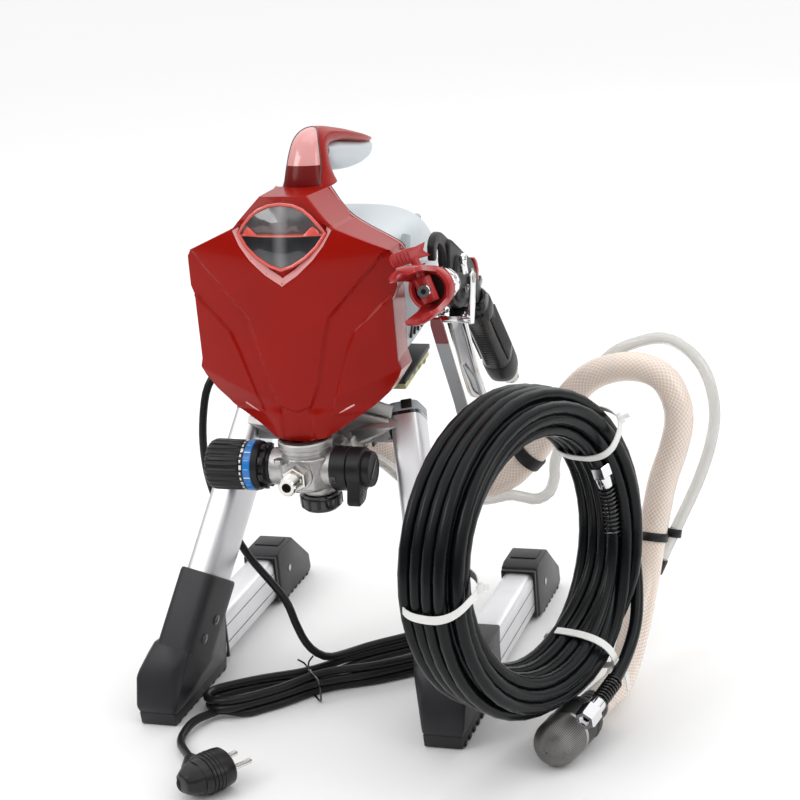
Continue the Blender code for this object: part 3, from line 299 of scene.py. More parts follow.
# ---------------------------------------------------------------- shapes
def frame_of(axis, hint=(0, 0, 1)):
    """A turn that carries Z onto the axis, with X toward the hint."""
    z = Vector(axis).normalized()
    hint = Vector(hint)
    if abs(z.dot(hint.normalized())) > 0.99:
        hint = Vector((1, 0, 0))
    x = (hint - z * hint.dot(z)).normalized()
    return Matrix((x, z.cross(x), z)).transposed().to_4x4()


def spun(turn, radius, angle, distance=0.0):
    """A place round a turned frame's axis."""
    return turn @ Vector((radius * math.cos(angle), radius * math.sin(angle), distance))


def spokes(count, shift=0.0, upright=False):
    """Ways out from the X axis, or from Z, evenly round it, each with the three axes of a block that faces it."""
    for k in range(count):
        a = TWO_PI * (k + shift) / count
        c, s = math.cos(a), math.sin(a)
        if upright:
            yield k, Vector((c, s, 0)), (Vector((c, s, 0)), Vector((-s, c, 0)), Z_WAY)
        else:
            yield k, Vector((0, c, s)), (Vector((0, c, s)), Vector((0, -s, c)), X_WAY)


def cuff(inner, outer, half, edge):
    """The profile of a strap or collar round a hose, with softened outer edges."""
    soft = outer - edge / 2
    return [(inner, -half), (soft, -half), (outer, edge - half), (outer, half - edge), (soft, half), (inner, half)]


class Shape:
    """Collects shapes with their finishes, then becomes one object."""

    def __init__(self):
        self.mesh = bpy.data.meshes.new("parts")
        self.whole = bmesh.new()
        self.whole.loops.layers.uv.new("UVMap")
        self.finishes = []

    def take(self, bm, material, bevel=0.0, segments=2, angle=25.0):
        bmesh.ops.recalc_face_normals(bm, faces=bm.faces)
        if bevel > 0:
            sharp = [e for e in bm.edges if len(e.link_faces) == 2
                     and e.calc_face_angle(0.0) > math.radians(angle)]
            bmesh.ops.bevel(bm, geom=sharp, offset=bevel, segments=segments, profile=0.5, affect="EDGES",
                            clamp_overlap=True)
        if material not in self.finishes:
            self.finishes.append(material)
        for face in bm.faces:
            face.material_index = self.finishes.index(material)
        mesh = bpy.data.meshes.new("part")
        bm.to_mesh(mesh)
        bm.free()
        self.whole.from_mesh(mesh)
        bpy.data.meshes.remove(mesh)
        return self

    def box(self, low, high, material, bevel=0.6):
        low, high = Vector(low), Vector(high)
        return self.block((low + high) / 2, (X_WAY, Y_WAY, Z_WAY), (high - low) / 2, material, bevel)

    def block(self, centre, axes, half, material, bevel=0.6, segments=2):
        bm = bmesh.new()
        bmesh.ops.create_cube(bm, size=2.0)
        turn = Matrix([a * h for a, h in zip(axes, half)]).transposed().to_4x4()
        bmesh.ops.transform(bm, verts=bm.verts, matrix=Matrix.Translation(centre) @ turn)
        return self.take(bm, material, bevel, segments)

    def rod(self, start, end, radius, material, end_radius=None, sides=40, bevel=0.5):
        start, end = Vector(start), Vector(end)
        bm = bmesh.new()
        bmesh.ops.create_cone(bm, cap_ends=True, segments=sides, radius1=radius,
                              radius2=radius if end_radius is None else end_radius,
                              depth=(end - start).length)
        bmesh.ops.transform(bm, verts=bm.verts, matrix=Matrix.Translation((start + end) / 2) @ frame_of(end - start))
        return self.take(bm, material, bevel, 2, 40.0)

    def hull(self, points, material, bevel=0.8, segments=2):
        """The convex body round some points."""
        bm = bmesh.new()
        for point in points:
            bm.verts.new(point)
        made = bmesh.ops.convex_hull(bm, input=bm.verts)
        spare = {v for v in made["geom_interior"] + made["geom_unused"] if isinstance(v, bmesh.types.BMVert)}
        bmesh.ops.delete(bm, geom=list(spare), context="VERTS")
        bmesh.ops.dissolve_limit(bm, angle_limit=math.radians(1.5), verts=bm.verts, edges=bm.edges)
        return self.take(bm, material, bevel, segments, 18.0)

    def prism(self, outline, start, end, material, bevel=0.8, segments=2):
        """A (y, z) outline carried along X."""
        bm = bmesh.new()
        face = bm.faces.new([bm.verts.new((start, y, z)) for y, z in outline])
        made = bmesh.ops.extrude_face_region(bm, geom=[face])
        moved = [v for v in made["geom"] if isinstance(v, bmesh.types.BMVert)]
        bmesh.ops.translate(bm, verts=moved, vec=(end - start, 0, 0))
        return self.take(bm, material, bevel, segments)

    def loft(self, rings, material, cap_start=True, cap_end=True, bevel=0.0, uv=None):
        bm = bmesh.new()
        layer = bm.loops.layers.uv.new("UVMap")
        loops = [[bm.verts.new(point) for point in ring] for ring in rings]
        count = len(loops[0])
        for k, (near, far) in enumerate(zip(loops, loops[1:])):
            for i in range(count):
                j = (i + 1) % count
                face = bm.faces.new((near[i], near[j], far[j], far[i]))
                if uv:
                    corners = ((i, k), (i + 1, k), (i + 1, k + 1), (i, k + 1))
                    for loop, (a, b) in zip(face.loops, corners):
                        loop[layer].uv = (a * uv[0], b * uv[1])
        if cap_start:
            bm.faces.new(loops[0][::-1])
        if cap_end:
            bm.faces.new(loops[-1])
        return self.take(bm, material, bevel)

    def grid(self, rows, material):
        """An open sheet of points in rows."""
        bm = bmesh.new()
        lines = [[bm.verts.new(point) for point in row] for row in rows]
        for near, far in zip(lines, lines[1:]):
            for a, b, c, d in zip(near, near[1:], far[1:], far):
                bm.faces.new((a, b, c, d))
        return self.take(bm, material)

    def turned(self, profile, base, axis, material, sides=56):
        """A (radius, distance) profile turned round an axis; one that starts off the axis closes on itself."""
        bm = bmesh.new()
        turn = frame_of(axis).to_3x3()
        steps = []
        for radius, distance in profile:
            count = 1 if radius < 1e-6 else sides
            steps.append([bm.verts.new(Vector(base) + spun(turn, radius, TWO_PI * i / sides, distance))
                          for i in range(count)])
        pairs = list(zip(steps, steps[1:]))
        if profile[0][0] > 1e-6:
            pairs.append((steps[-1], steps[0]))
        for near, far in pairs:
            for i in range(sides):
                j = (i + 1) % sides
                corners = [near[i % len(near)], near[j % len(near)], far[j % len(far)], far[i % len(far)]]
                unique = [v for n, v in enumerate(corners) if v not in corners[:n]]
                if len(unique) > 2:
                    bm.faces.new(unique)
        return self.take(bm, material)

    def tube(self, path, radius, material, sides=16, uv=None):
        """A round tube along dense points; uv is (threads along per mm, threads around)."""
        rings = []
        points = [Vector(p) for p in path]
        side = Vector((0, 0, 1))
        for i, point in enumerate(points):
            along = (points[min(i + 1, len(points) - 1)] - points[max(i - 1, 0)]).normalized()
            side = (side - along * side.dot(along))
            side = side.normalized() if side.length > 1e-4 else frame_of(along).to_3x3().col[0]
            other = along.cross(side)
            size = radius(i / (len(points) - 1)) if callable(radius) else radius
            rings.append([point + (side * math.cos(TWO_PI * k / sides) + other * math.sin(TWO_PI * k / sides)) * size
                          for k in range(sides)])
        return self.loft(rings, material, uv=uv)

    def object(self, name, body, *nodes, smooth=40.0, slot=None):
        bmesh.ops.scale(self.whole, verts=self.whole.verts, vec=(MM, MM, MM))
        bmesh.ops.translate(self.whole, verts=self.whole.verts, vec=(0, -ORIGIN_Y * MM, 0))
        self.whole.to_mesh(self.mesh)
        self.whole.free()
        self.mesh.name = name
        for material in self.finishes:
            self.mesh.materials.append(material)
        self.mesh.shade_smooth()
        self.mesh.set_sharp_from_angle(angle=math.radians(smooth))
        made = bpy.data.objects.new(name, self.mesh)
        bpy.context.scene.collection.objects.link(made)
        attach(made, body)
        if nodes:
            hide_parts(*nodes)
        return made


def smooth_route(points, spacing):
    """Evenly spaced places on a smooth curve through the points."""
    points = [Vector(p) for p in points]
    padded = [2 * points[0] - points[1]] + points + [2 * points[-1] - points[-2]]
    fine = []
    for a, b, c, d in zip(padded, padded[1:], padded[2:], padded[3:]):
        for step in range(16):
            t = step / 16
            fine.append(0.5 * ((2 * b) + (c - a) * t + (2 * a - 5 * b + 4 * c - d) * t * t
                               + (3 * b - a - 3 * c + d) * t ** 3))
    fine.append(points[-1])
    lengths = [0.0]
    for near, far in zip(fine, fine[1:]):
        lengths.append(lengths[-1] + (far - near).length)
    count = max(2, round(lengths[-1] / spacing))
    even, k = [], 0
    for i in range(count + 1):
        target = lengths[-1] * i / count
        while k < len(lengths) - 2 and lengths[k + 1] < target:
            k += 1
        share = (target - lengths[k]) / max(lengths[k + 1] - lengths[k], 1e-9)
        even.append(fine[k].lerp(fine[k + 1], share))
    return even


def cord_curve(name, points, radius, material, body, *nodes, resolution=3):
    data = bpy.data.curves.new(name, "CURVE")
    data.dimensions = "3D"
    spline = data.splines.new("POLY")
    spline.points.add(len(points) - 1)
    for target, point in zip(spline.points, points):
        target.co = (*world(point), 1.0)
    data.bevel_depth = radius * MM
    data.bevel_resolution = resolution
    data.use_fill_caps = True
    data.materials.append(material)
    made = bpy.data.objects.new(name, data)
    bpy.context.scene.collection.objects.link(made)
    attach(made, body)
    if nodes:
        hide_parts(*nodes)
    return made


def step(value, low, high):
    """0 below low, 1 above high, smooth between."""
    t = min(1.0, max(0.0, (value - low) / (high - low)))
    return t * t * (3 - 2 * t)


def along_line(points, value):
    """The second number of a list of pairs at `value` of the first, which falls or rises all the way."""
    for (a, p), (b, q) in zip(points, points[1:]):
        if min(a, b) <= value <= max(a, b):
            return p + (q - p) * (value - a) / (b - a) if a != b else p
    return points[0][1] if abs(value - points[0][0]) < abs(value - points[-1][0]) else points[-1][1]


def ring(centre, half_width, half_height, power=2.6, sides=40, across=(1, 0, 0), upward=(0, 0, 1)):
    points = []
    across, upward = Vector(across), Vector(upward)
    for i in range(sides):
        angle = TWO_PI * (i + 0.5) / sides
        c, s = math.cos(angle), math.sin(angle)
        u = math.copysign(abs(c) ** (2 / power), c) * half_width
        v = math.copysign(abs(s) ** (2 / power), s) * half_height
        points.append(Vector(centre) + across * u + upward * v)
    return points


# ---------------------------------------------------------------- stand
LEG_FOOT, LEG_TOP = Vector((125.0, 13.3, 0.0)), Vector((67.1, 151.0, 228.5))
LEG_TWIST = math.radians(9.9)


def leg_frame(side):
    foot = Vector((LEG_FOOT.x * side, LEG_FOOT.y, 0))
    top = Vector((LEG_TOP.x * side, LEG_TOP.y, LEG_TOP.z))
    axis = (top - foot).normalized()
    front = Vector((side * math.sin(LEG_TWIST), -math.cos(LEG_TWIST), 0.0))
    front = (front - axis * front.dot(axis)).normalized()
    across = axis.cross(front)
    return foot, axis, across if across.x > 0 else -across, front


def leg_ring(side, distance, half_across, half_fore, power=5.0):
    foot, axis, across, front = leg_frame(side)
    return ring(foot + axis * distance, half_across, half_fore, power, 48, across, front)


def boot(side, label):
    x = side * 125.0
    out, inner = x + side * 18.0, x - side * 17.0
    foot, axis, across, front = leg_frame(side)
    socket = foot + axis * 62
    shape = Shape()
    points = [(x + side * 15, 3, 9), (inner, 3, 9), (inner, 112, 9), (x + side * 15, 112, 9),
              (out, 0, 15), (inner, 0, 15), (out + side, 9, 40), (inner + side, 8, 46),
              (out, 34, 50), (out - side, 108, 44), (inner, 120, 46)]
    points += [socket + across * u + front * v for u in (-16.5, 16.5) for v in (-23, 24.3)]
    shape.hull(points, BOOT, 3.0, 4)
    shape.hull([(x + side * a, y, z) for a in (-16.8, 15.6) for y, z in ((2.5, 0.2), (112, 0.2), (112, 12), (1, 12))],
               BOOT, 1.4)
    for k in range(9):
        shape.box((x - 16.9, 8 + 12 * k, 0.0), (x + 16.9, 13 + 12 * k, 3.0), BLACK, 0.5)
    shape.loft([leg_ring(side, 56, 16.5, 24.5, 7.0), leg_ring(side, 124.0, 16.5, 24.5, 7.0),
                leg_ring(side, 126.4, 16.0, 24.0, 7.0), leg_ring(side, 127.0, 14.9, 22.9, 7.0),
                leg_ring(side, 124.0, 13.3, 21.3, 6.0)], BOOT, cap_end=False)
    shape.hull([(x + u, y, z) for u in (-17, 17) for y, z in ((60, 2), (112, 2), (124, 53), (60, 53))], BOOT, 2.0, 3)
    shape.box((x - 15.0, 122, 5.0), (x + 15.0, 125.5, 47.5), BLACK, 1.0)
    for z, y in ((66, 44), (82, 56), (28, 88), (40, 104)):
        if z > 60:
            centre = foot + axis * (z * 1.12) - across * side * 16.4 + front * (4 if z == 66 else -6)
            way = -across * side
        else:
            centre, way = Vector((inner, y, z)), Vector((-side, 0, 0))
        shape.rod(centre - way * 1.0, centre + way * 0.7, 4.6, BLACK_GLOSS, sides=28)
        shape.rod(centre, centre + way * 1.1, 2.9, DARK_STEEL, sides=24)
        shape.block(centre + way * 1.15, (way, axis, way.cross(axis)), (0.25, 2.3, 0.45), BLACK_GLOSS, 0)
    shape.object(f"boot_{label}", "machine", f"front_boot_{label}")


def leg(side, label):
    foot, axis, across, front = leg_frame(side)
    shape = Shape()
    shape.loft([leg_ring(side, 100, 13, 21), leg_ring(side, 273.0, 13, 21), leg_ring(side, 273.6, 12.4, 20.4)],
               ALUMINIUM)
    shape.object(f"leg_{label}", "machine", f"leg_tube_{label}")
    cap = Shape()
    cap.loft([leg_ring(side, 268.5, 13.25, 21.25), leg_ring(side, 271.5, 13.3, 21.3)], BLACK_GLOSS)
    cap.loft([leg_ring(side, 271.4, 13.4, 21.4), leg_ring(side, 277.6, 13.5, 21.5), leg_ring(side, 279.6, 12.2, 20.2),
              leg_ring(side, 280.0, 9.0, 17.0)], GREY_DARK if side > 0 else BLACK)
    cap.block(foot + axis * 276.5 + across * side * 4 + front * 20.0, (across, front, axis), (4.5, 2.3, 3.8),
              BLACK, 0.4)
    cap.object(f"leg_cap_{label}", "machine", f"leg_top_cap_{label}")


def floor_bar(side, label):
    x = side * 125.0
    shape = Shape()
    rings = [ring((x, y, 26), 14.0 - inset, 20.0 - inset, 6.0, 44) for y, inset in
             ((68, 0.6), (69, 0), (294, 0), (295, 0.6))]
    shape.loft(rings, ALUMINIUM)
    for way in SIDES:
        shape.box((x + way * 13.9, 122, 17.5), (x + way * 14.15, 255, 18.6), DARK_STEEL, 0)
        shape.box((x + way * 13.9, 122, 33.0), (x + way * 14.15, 255, 34.0), DARK_STEEL, 0)
    shape.object(f"floor_bar_{label}", "machine", f"floor_tube_{label}")
    end = Shape()
    outline = [(247, 2), (256, 0.2), (321, 0.2), (326, 4), (324, 19), (286, 52), (256, 52), (247, 49)]
    end.prism(outline, x - 16.8, x + 16.8, BOOT, 2.4, 3)
    end.prism([(242, 4.6), (248, 4.6), (248, 48), (242, 48)], x - 15.6, x + 15.6, BLACK, 0.8)
    end.prism([(262, 50), (262, 53.2), (280, 53.2), (284, 50)], x - 12, x + 12, BLACK, 0.8)
    for k in range(6):
        end.box((x - 16.9, 262 + 10 * k, 0.0), (x + 16.9, 266 + 10 * k, 3.0), BLACK, 0.4)
    for way in SIDES:
        end.rod((x + way * 16.2, 272, 26), (x + way * 17.2, 272, 26), 4.0, BLACK_GLOSS, sides=24)
        end.rod((x + way * 16.9, 272, 26), (x + way * 17.4, 272, 26), 2.5, STEEL, sides=20)
    end.object(f"rear_foot_{label}", "machine", f"rear_cap_{label}")


# ---------------------------------------------------------------- front cover
# front x, front z, rear x, rear y, rear z down the cover's right edge
EDGE = [(20, 430.0, 23, 136.5, 427), (42.5, 406.4, 40.4, 136.5, 403), (84.8, 387.2, 78.3, 136.5, 380.5),
        (88.4, 381.5, 80.6, 136.5, 374), (88.6, 357, 81, 136.5, 361), (84.8, 347.5, 78.6, 136.5, 348),
        (84.8, 295.5, 77, 136.5, 291), (86.8, 288.5, 79.7, 136.5, 280), (83.5, 281, 76, 131, 273.5),
        (75, 269.5, 69, 125, 262.8), (62, 258.3, 57, 117, 252.5), (49, 249.5, 45, 110, 244.5),
        (34, 239.6, 32, 102, 236), (22, 233.2, 21, 97, 231.4), (10, 231.2, 10, 94, 230.8)]
CHEVRON = [(0, 361.5), (14, 370.5), (27, 382), (36, 393), (42.5, 404.5)]
RIDGE_IN = [(390, 88), (384, 80), (335, 34.5), (318, 29.5), (280, 21), (262, 13.5), (257.5, 11)]
RIDGE_OUT = [(352, 84), (347, 80), (322, 53), (306, 46), (262, 31), (250, 28)]


def chevron_distance(x, z):
    """How far (x, z) lies above the chevron line, in millimetres."""
    x = abs(x)
    best = 1e9
    for (ax, az), (bx, bz) in zip(CHEVRON, CHEVRON[1:]):
        along = Vector((bx - ax, bz - az))
        t = max(0.0, min(1.0, Vector((x - ax, z - az)).dot(along) / along.length_squared))
        gap = Vector((x - ax - along.x * t, z - az - along.y * t))
        side = along.x * (z - az) - along.y * (x - ax)
        if gap.length < abs(best):
            best = math.copysign(gap.length, side)
    return best


def cover_front(x, z):
    """The cover's face: crowned across, with a pointed chin, ridges and the recess round the lens."""
    a = abs(x)
    y = 70.0 + 17.0 * (a / 85.0) ** 1.7 + 0.0058 * max(0.0, z - 372.0) ** 2 * (1 - 0.25 * a / 85.0)
    chin = 257.0 + 0.36 * a
    y += (0.06 + 0.28 * step(a, 10, 42)) * max(0.0, chin - z)
    y += 1.3 * step(z, chin + 0.5, chin - 1.3) * (1 - step(a, 12, 15))
    if 252 < z < 386:
        inner = along_line(RIDGE_IN, z)
        y += 2.2 * step(a, inner - 1.2, inner + 1.6) * step(z, 252, 262)
    if 252 < z < 350:
        outer = along_line(RIDGE_OUT, z)
        y -= 1.7 * step(a, outer - 1.0, outer + 1.4) * step(z, 250, 258)
    d = chevron_distance(x, z)
    y += 4.0 * step(d, 0.0, 6.5) * step(z, 412, 404)
    return y


def cover_rows():
    rows, levels = [], []
    for (a, b) in zip(EDGE, EDGE[1:]):
        pieces = max(2, int(abs(a[1] - b[1]) / 1.3))
        levels += [[p + (q - p) * k / pieces for p, q in zip(a, b)] for k in range(pieces)]
    levels.append(list(EDGE[-1]))
    for fx, fz, rx, ry, rz in levels:
        face = []
        for i in range(-64, 65):
            x = i / 64 * (fx - 1.6)
            face.append(Vector((x, cover_front(x, fz), fz)))
        edge_y = cover_front(fx - 1.6, fz)
        back = []
        for share in (0.03, 0.12, 0.35, 0.7, 0.97, 1.0):
            y = edge_y + 1.6 + (ry - edge_y - 1.6) * share
            back.append(Vector((fx + (rx - fx) * share, y, fz + (rz - fz) * share)))
        corner = [Vector((fx - 0.5, edge_y + 0.35, fz)), Vector((fx, edge_y + 1.3, fz))]
        side = corner + back
        rows.append([Vector((-p.x, p.y, p.z)) for p in reversed(side)] + face + side)
    return rows


def closing_rows(row, parts):
    """Straight rows that close an edge, each joining two places equally far from its ends."""
    count = len(row)
    return [[row[k].lerp(row[count - 1 - k], i / parts) for i in range(parts + 1)] for k in range(count // 2 + 1)]


def front_cover():
    shape = Shape()
    rows = cover_rows()
    shape.grid(rows, RED)
    shape.grid(closing_rows(rows[0], 8), RED)
    # The cover's underside below the chin, in the darker red: painted shade.
    shape.grid(closing_rows(rows[-1], 4), RED_PAINTED_SHADE)
    for way in SIDES:
        # A pale pink bead along the chin ridge: painted highlight.
        lip = [(way * 31, cover_front(31, 253) + 1.2, 253.4), (way * 38, cover_front(38, 256) + 0.6, 256.2),
               (way * 47, cover_front(47, 261) + 0.4, 260.6)]
        shape.tube(smooth_route(lip, 2.0), 0.9, RED_PAINTED_HIGHLIGHT, 10)
        # The chevron band under the lens in pale pink: painted highlight on its upward sloping face.
        band = [(x * way, z) for x, z in CHEVRON]
        rows_band = []
        for shift in (0.6, 5.6):
            row = []
            for k in range(25):
                t = k / 24 * (len(band) - 1)
                i = min(int(t), len(band) - 2)
                p, q = Vector(band[i]), Vector(band[i + 1])
                along = (q - p).normalized()
                normal = Vector((-along.y, along.x)) * way
                place = p.lerp(q, t - i) + normal * shift
                place.x = place.x if place.x * way >= 0 else 0.0
                row.append(Vector((place.x, cover_front(place.x, place.y) - 0.25, place.y)))
            rows_band.append(row)
        shape.grid(rows_band, RED_PAINTED_HIGHLIGHT)
        # A pale pink line along the crest: painted highlight.
        crest = [(way * (x + 0.1), y - 2.5, z + 0.3)
                 for x, y, z in ((23, 136.5, 427), (40.4, 136.5, 403), (78.3, 136.5, 380.5), (80.6, 136.5, 374))]
        shape.tube(smooth_route(crest, 3.0), 1.0, RED_PAINTED_HIGHLIGHT, 8)
        shape.tube(smooth_route([(x + way * 0.1, y + 1.9, z + 0.2) for x, y, z in crest], 3.0), 0.8, BLACK_GLOSS, 8)
    shape.object("cover", "machine", "front_cover", smooth=24.0)


LENS_OUTLINE = [(0, 424.5), (10, 423.5), (18, 420.5), (25, 415.5), (31, 409.0), (35.5, 402.5), (29, 393.0), (20, 385.0),
                (9.5, 378.8), (0, 375.6)]


def lens():
    half = LENS_OUTLINE
    outline = half + [(-x, z) for x, z in half[1:-1]][::-1]
    shape = Shape()
    rings_ = []
    for inset in (0.0, 0.25, 0.5, 0.75, 0.97):
        row = []
        for x, z in outline:
            px, pz = x * (1 - inset), z + (401 - z) * inset
            row.append(Vector((px, cover_front(px, pz) - 2.2 - 1.5 * step(inset, 0.0, 0.5), pz)))
        rings_.append(row)
    shape.loft(rings_, LENS, cap_start=False)
    rim = [Vector((x * 1.03, cover_front(x, z) - 2.3, 401 + (z - 401) * 1.03)) for x, z in outline]
    shape.tube(rim + [rim[0]], 1.35, RIM, 10)
    for way in SIDES:
        # Bright red wedges in the lens's two tips: painted glow.
        painted_glow_wedge = ((32.5, 401.2), (31.5, 405.0), (27.5, 408.6), (25.5, 407.6), (20.5, 402.6), (18.5, 401.0))
        front = [Vector((way * x, cover_front(way * x, z) - 3.9, z)) for x, z in painted_glow_wedge]
        shape.hull(front + [p + Vector((0, 1.2, 0)) for p in front], RIM, 0.2, 1)
    # The groove round the lens in the darker red: painted shade.
    groove = [Vector((x * 1.075, cover_front(x, z) - 1.0, 401 + (z - 401) * 1.075)) for x, z in outline]
    shape.tube(groove + [groove[0]], 0.7, RED_PAINTED_SHADE, 8)
    shape.object("lens", "machine", "emblem_window", smooth=30.0)


# ---------------------------------------------------------------- handle and rear shroud
# centre y, centre z, lean of the ring in degrees, half width, half thickness
UPPER = [(150.5, 425.5, 0, 21.5, 22.5), (151.0, 433, -2, 18.6, 20.5), (152.5, 441, -6, 16.8, 18.0),
         (155.0, 448.5, -16, 15.4, 15.6), (159.5, 455.0, -38, 14.0, 13.4), (167.0, 458.6, -66, 13.2, 10.4),
         (178.0, 459.4, -92, 13.0, 8.4), (196.0, 456.8, -101, 13.3, 6.4), (216.0, 452.4, -105, 13.6, 5.4),
         (236.0, 447.0, -106, 13.8, 4.8), (255.0, 441.8, -105, 13.2, 4.2), (272.0, 437.0, -104, 11.6, 3.4),
         (284.0, 434.5, -104, 8.6, 2.1), (289.0, 433.6, -104, 4.0, 0.9)]
LOWER = [(175.0, 447.0, 56, 10.4, 6.2), (181.0, 443.4, 62, 12.2, 9.8), (198.0, 438.8, 70, 13.2, 12.2),
         (217.0, 434.8, 75, 13.7, 12.0), (236.0, 431.4, 78, 13.8, 11.2), (254.0, 429.0, 82, 13.4, 9.8),
         (270.0, 428.2, 86, 12.4, 7.8), (281.0, 429.0, 88, 9.6, 5.4), (288.0, 430.8, 90, 4.4, 2.2)]


def swept(table, sides=44):
    """Rings from rows of centre y, centre z, lean, half width and half thickness."""
    rings_ = []
    for y, z, lean, wide, thick in table:
        a = math.radians(lean)
        thick_way = Vector((0, math.cos(a), math.sin(a)))
        rings_.append(ring((0, y, z), wide, thick, 2.5, sides, X_WAY, thick_way))
    return rings_


def finer(table, parts=4):
    """More rows between a table's own, on a smooth curve through them."""
    made = []
    for k in range(len(table) - 1):
        a, b = table[max(k - 1, 0)], table[k]
        c, d = table[k + 1], table[min(k + 2, len(table) - 1)]
        for s in range(parts):
            t = s / parts
            made.append(tuple(0.5 * (2 * q + (r - p) * t + (2 * p - 5 * q + 4 * r - w) * t * t
                                     + (3 * q - p - 3 * r + w) * t ** 3) for p, q, r, w in zip(a, b, c, d)))
    made.append(table[-1])
    return made


def front_side(loop, point):
    """True on the half of a handle ring that faces forward on the neck and upward on the grip."""
    middle = sum(loop, Vector()) / len(loop)
    return (point - middle).dot(Vector((0, -1, 0.9))) > 0


def handle():
    shape = Shape()
    shape.loft(swept(finer(UPPER)), RED)
    shape.object("handle_top", "machine", "handle_upper", smooth=50.0)
    low = Shape()
    low.loft(swept(finer(LOWER)), GREY)
    low.rod((3.5, 268, 421.4), (3.5, 268, 424), 2.0, BLACK, sides=20)
    low.object("handle_underside", "machine", "handle_lower", smooth=50.0)
    inlay = Shape()
    skin = swept(finer(UPPER, 8), 80)
    rows = []
    for k in range(4, 44):
        t = (k - 4) / 39
        half = 15.2 * max(0.0, 1 - t ** 2.4) ** 0.55
        ring_ = sorted((p for p in skin[k] if front_side(skin[k], p)), key=lambda p: p.x)
        middle = sum(skin[k], Vector()) / len(skin[k])
        line = []
        for i in range(-12, 13):
            x = half * i / 12
            near = max((p for p in ring_ if p.x <= x), key=lambda p: p.x, default=ring_[0])
            far = min((p for p in ring_ if p.x > x), key=lambda p: p.x, default=ring_[-1])
            share = (x - near.x) / max(far.x - near.x, 1e-6)
            point = near.lerp(far, share)
            out = Vector((0, point.y - middle.y, point.z - middle.z)).normalized()
            line.append(Vector((x, point.y, point.z)) + out * 0.7)
        rows.append(line)
    # The inlay's lower, forward-facing rows in the darker red are painted shade; its upper, upward-facing rows in pale
    # pink are painted highlight.
    inlay.grid(rows[:14], RED_PAINTED_SHADE)
    inlay.grid(rows[13:], RED_PAINTED_HIGHLIGHT)
    edge = [row[0] for row in rows] + [row[-1] for row in reversed(rows)]
    inlay.tube(edge, 0.55, BLACK_GLOSS, 8)
    inlay.object("handle_inlay", "machine", "handle_front_inlay", smooth=60.0)


def shroud():
    shape = Shape()
    table = [(137.5, 332, 76.6, 61.8, 4.2), (141, 332, 77.0, 62.0, 4.2), (170, 332, 76.4, 61.8, 4.0),
             (200, 332, 75, 61, 3.8), (228, 331, 73, 58.6, 3.5), (250, 329, 70, 55, 3.2), (266, 327, 65.5, 50, 3.0),
             (278, 325, 60, 44, 2.8), (286, 324, 52, 37, 2.7), (290.4, 323, 43, 30, 2.6), (291.4, 323, 34, 23, 2.6)]
    rings_ = [ring((0, y, z), w, h, p, 96) for y, z, w, h, p in finer([tuple(map(float, r)) for r in table], 3)]
    shape.loft(rings_, GREY, cap_start=False)
    for way in SIDES:
        for k in range(6):
            y = 152 + 10.5 * k
            lean = Vector((0, 0.45, 0.89))
            shape.block((way * (76.3 - 0.022 * (y - 150)), y, 304), (X_WAY, lean.cross(X_WAY), lean),
                        (0.9, 1.5, 9.0), BLACK, 0.5)
        shape.block((way * 74.6, 158, 366), (X_WAY, Vector((0, 0.94, -0.34)), Vector((0, 0.34, 0.94))),
                    (2.2, 6.5, 15.0), GREY_DARK, 1.2)
        shape.tube(smooth_route([(way * 76.6, 140, 349), (way * 76.0, 180, 347), (way * 74.2, 220, 343),
                                 (way * 70.0, 250, 338)], 4), 0.7, GREY_DARK, 8)
    for k in range(6):
        shape.box((-31, 289.5, 302 + 8 * k), (31, 292.2, 305.6 + 8 * k), BLACK, 0.8)
    for x, z in ((-52, 372), (52, 372), (-58, 290), (58, 290)):
        shape.rod((x, 139, z), (x, 262, z * 0.96 + 12), 3.6, GREY_DARK, sides=20)
    shape.object("shroud", "machine", "rear_shroud", smooth=35.0)


def electrics():
    along = Vector((0, 0.99, 0.12)).normalized()
    normal = X_WAY.cross(along)
    axes = (X_WAY, along, normal)
    shape = Shape()
    shape.block(Vector((22, 184, 262.0)), axes, (46, 36, 2.2), BLACK, 0.8)
    shape.block(Vector((22, 186, 256.9)), axes, (44.5, 34, 3.4), BOARD, 0.8)
    for k in range(4):
        shape.block(Vector((66.6, 164 + 14 * k, 256.6)), axes, (0.3, 3.2, 1.6), BOARD_DARK, 0.2)
    shape.object("control_board", "machine", "control_board_case")
    gland = Shape()
    profile = [(0, 22), (4.6, 22), (5.2, 21)]
    for k in range(6):
        wide, high = 0.32 * k, -2.6 * k
        profile += [(5.4 + wide, 20 + high), (5.4 + wide, 18.8 + high), (4.7 + wide, 18.4 + high)]
    profile += [(8.6, 4), (10, 3), (10, 0.3), (0, 0.3)]
    gland.turned(profile, (-70, 164, 266), (-1, 0, 0), RUBBER_FINISH, 32)
    gland.object("gland", "machine", "cord_gland")
    switch = Shape()
    switch.turned([(0, 4.6), (8.0, 4.6), (9.2, 3.6), (9.2, -3.8), (0, -3.8)], (-75, 205, 300), (-1, 0, 0), BLACK, 40)
    switch.hull([(-79.4, 198, 305.5), (-79.4, 212, 305.5), (-79.4, 198, 294.5), (-79.4, 212, 294.5),
                 (-82.0, 199, 304.5), (-82.0, 211, 304.5), (-80.2, 199, 295.5), (-80.2, 211, 295.5)], BLACK_GLOSS, 0.8)
    switch.box((-82.2, 203.2, 300.5), (-81.0, 206.8, 301.6), NYLON, 0.2)
    switch.object("rocker", "switch_rocker", "power_switch")


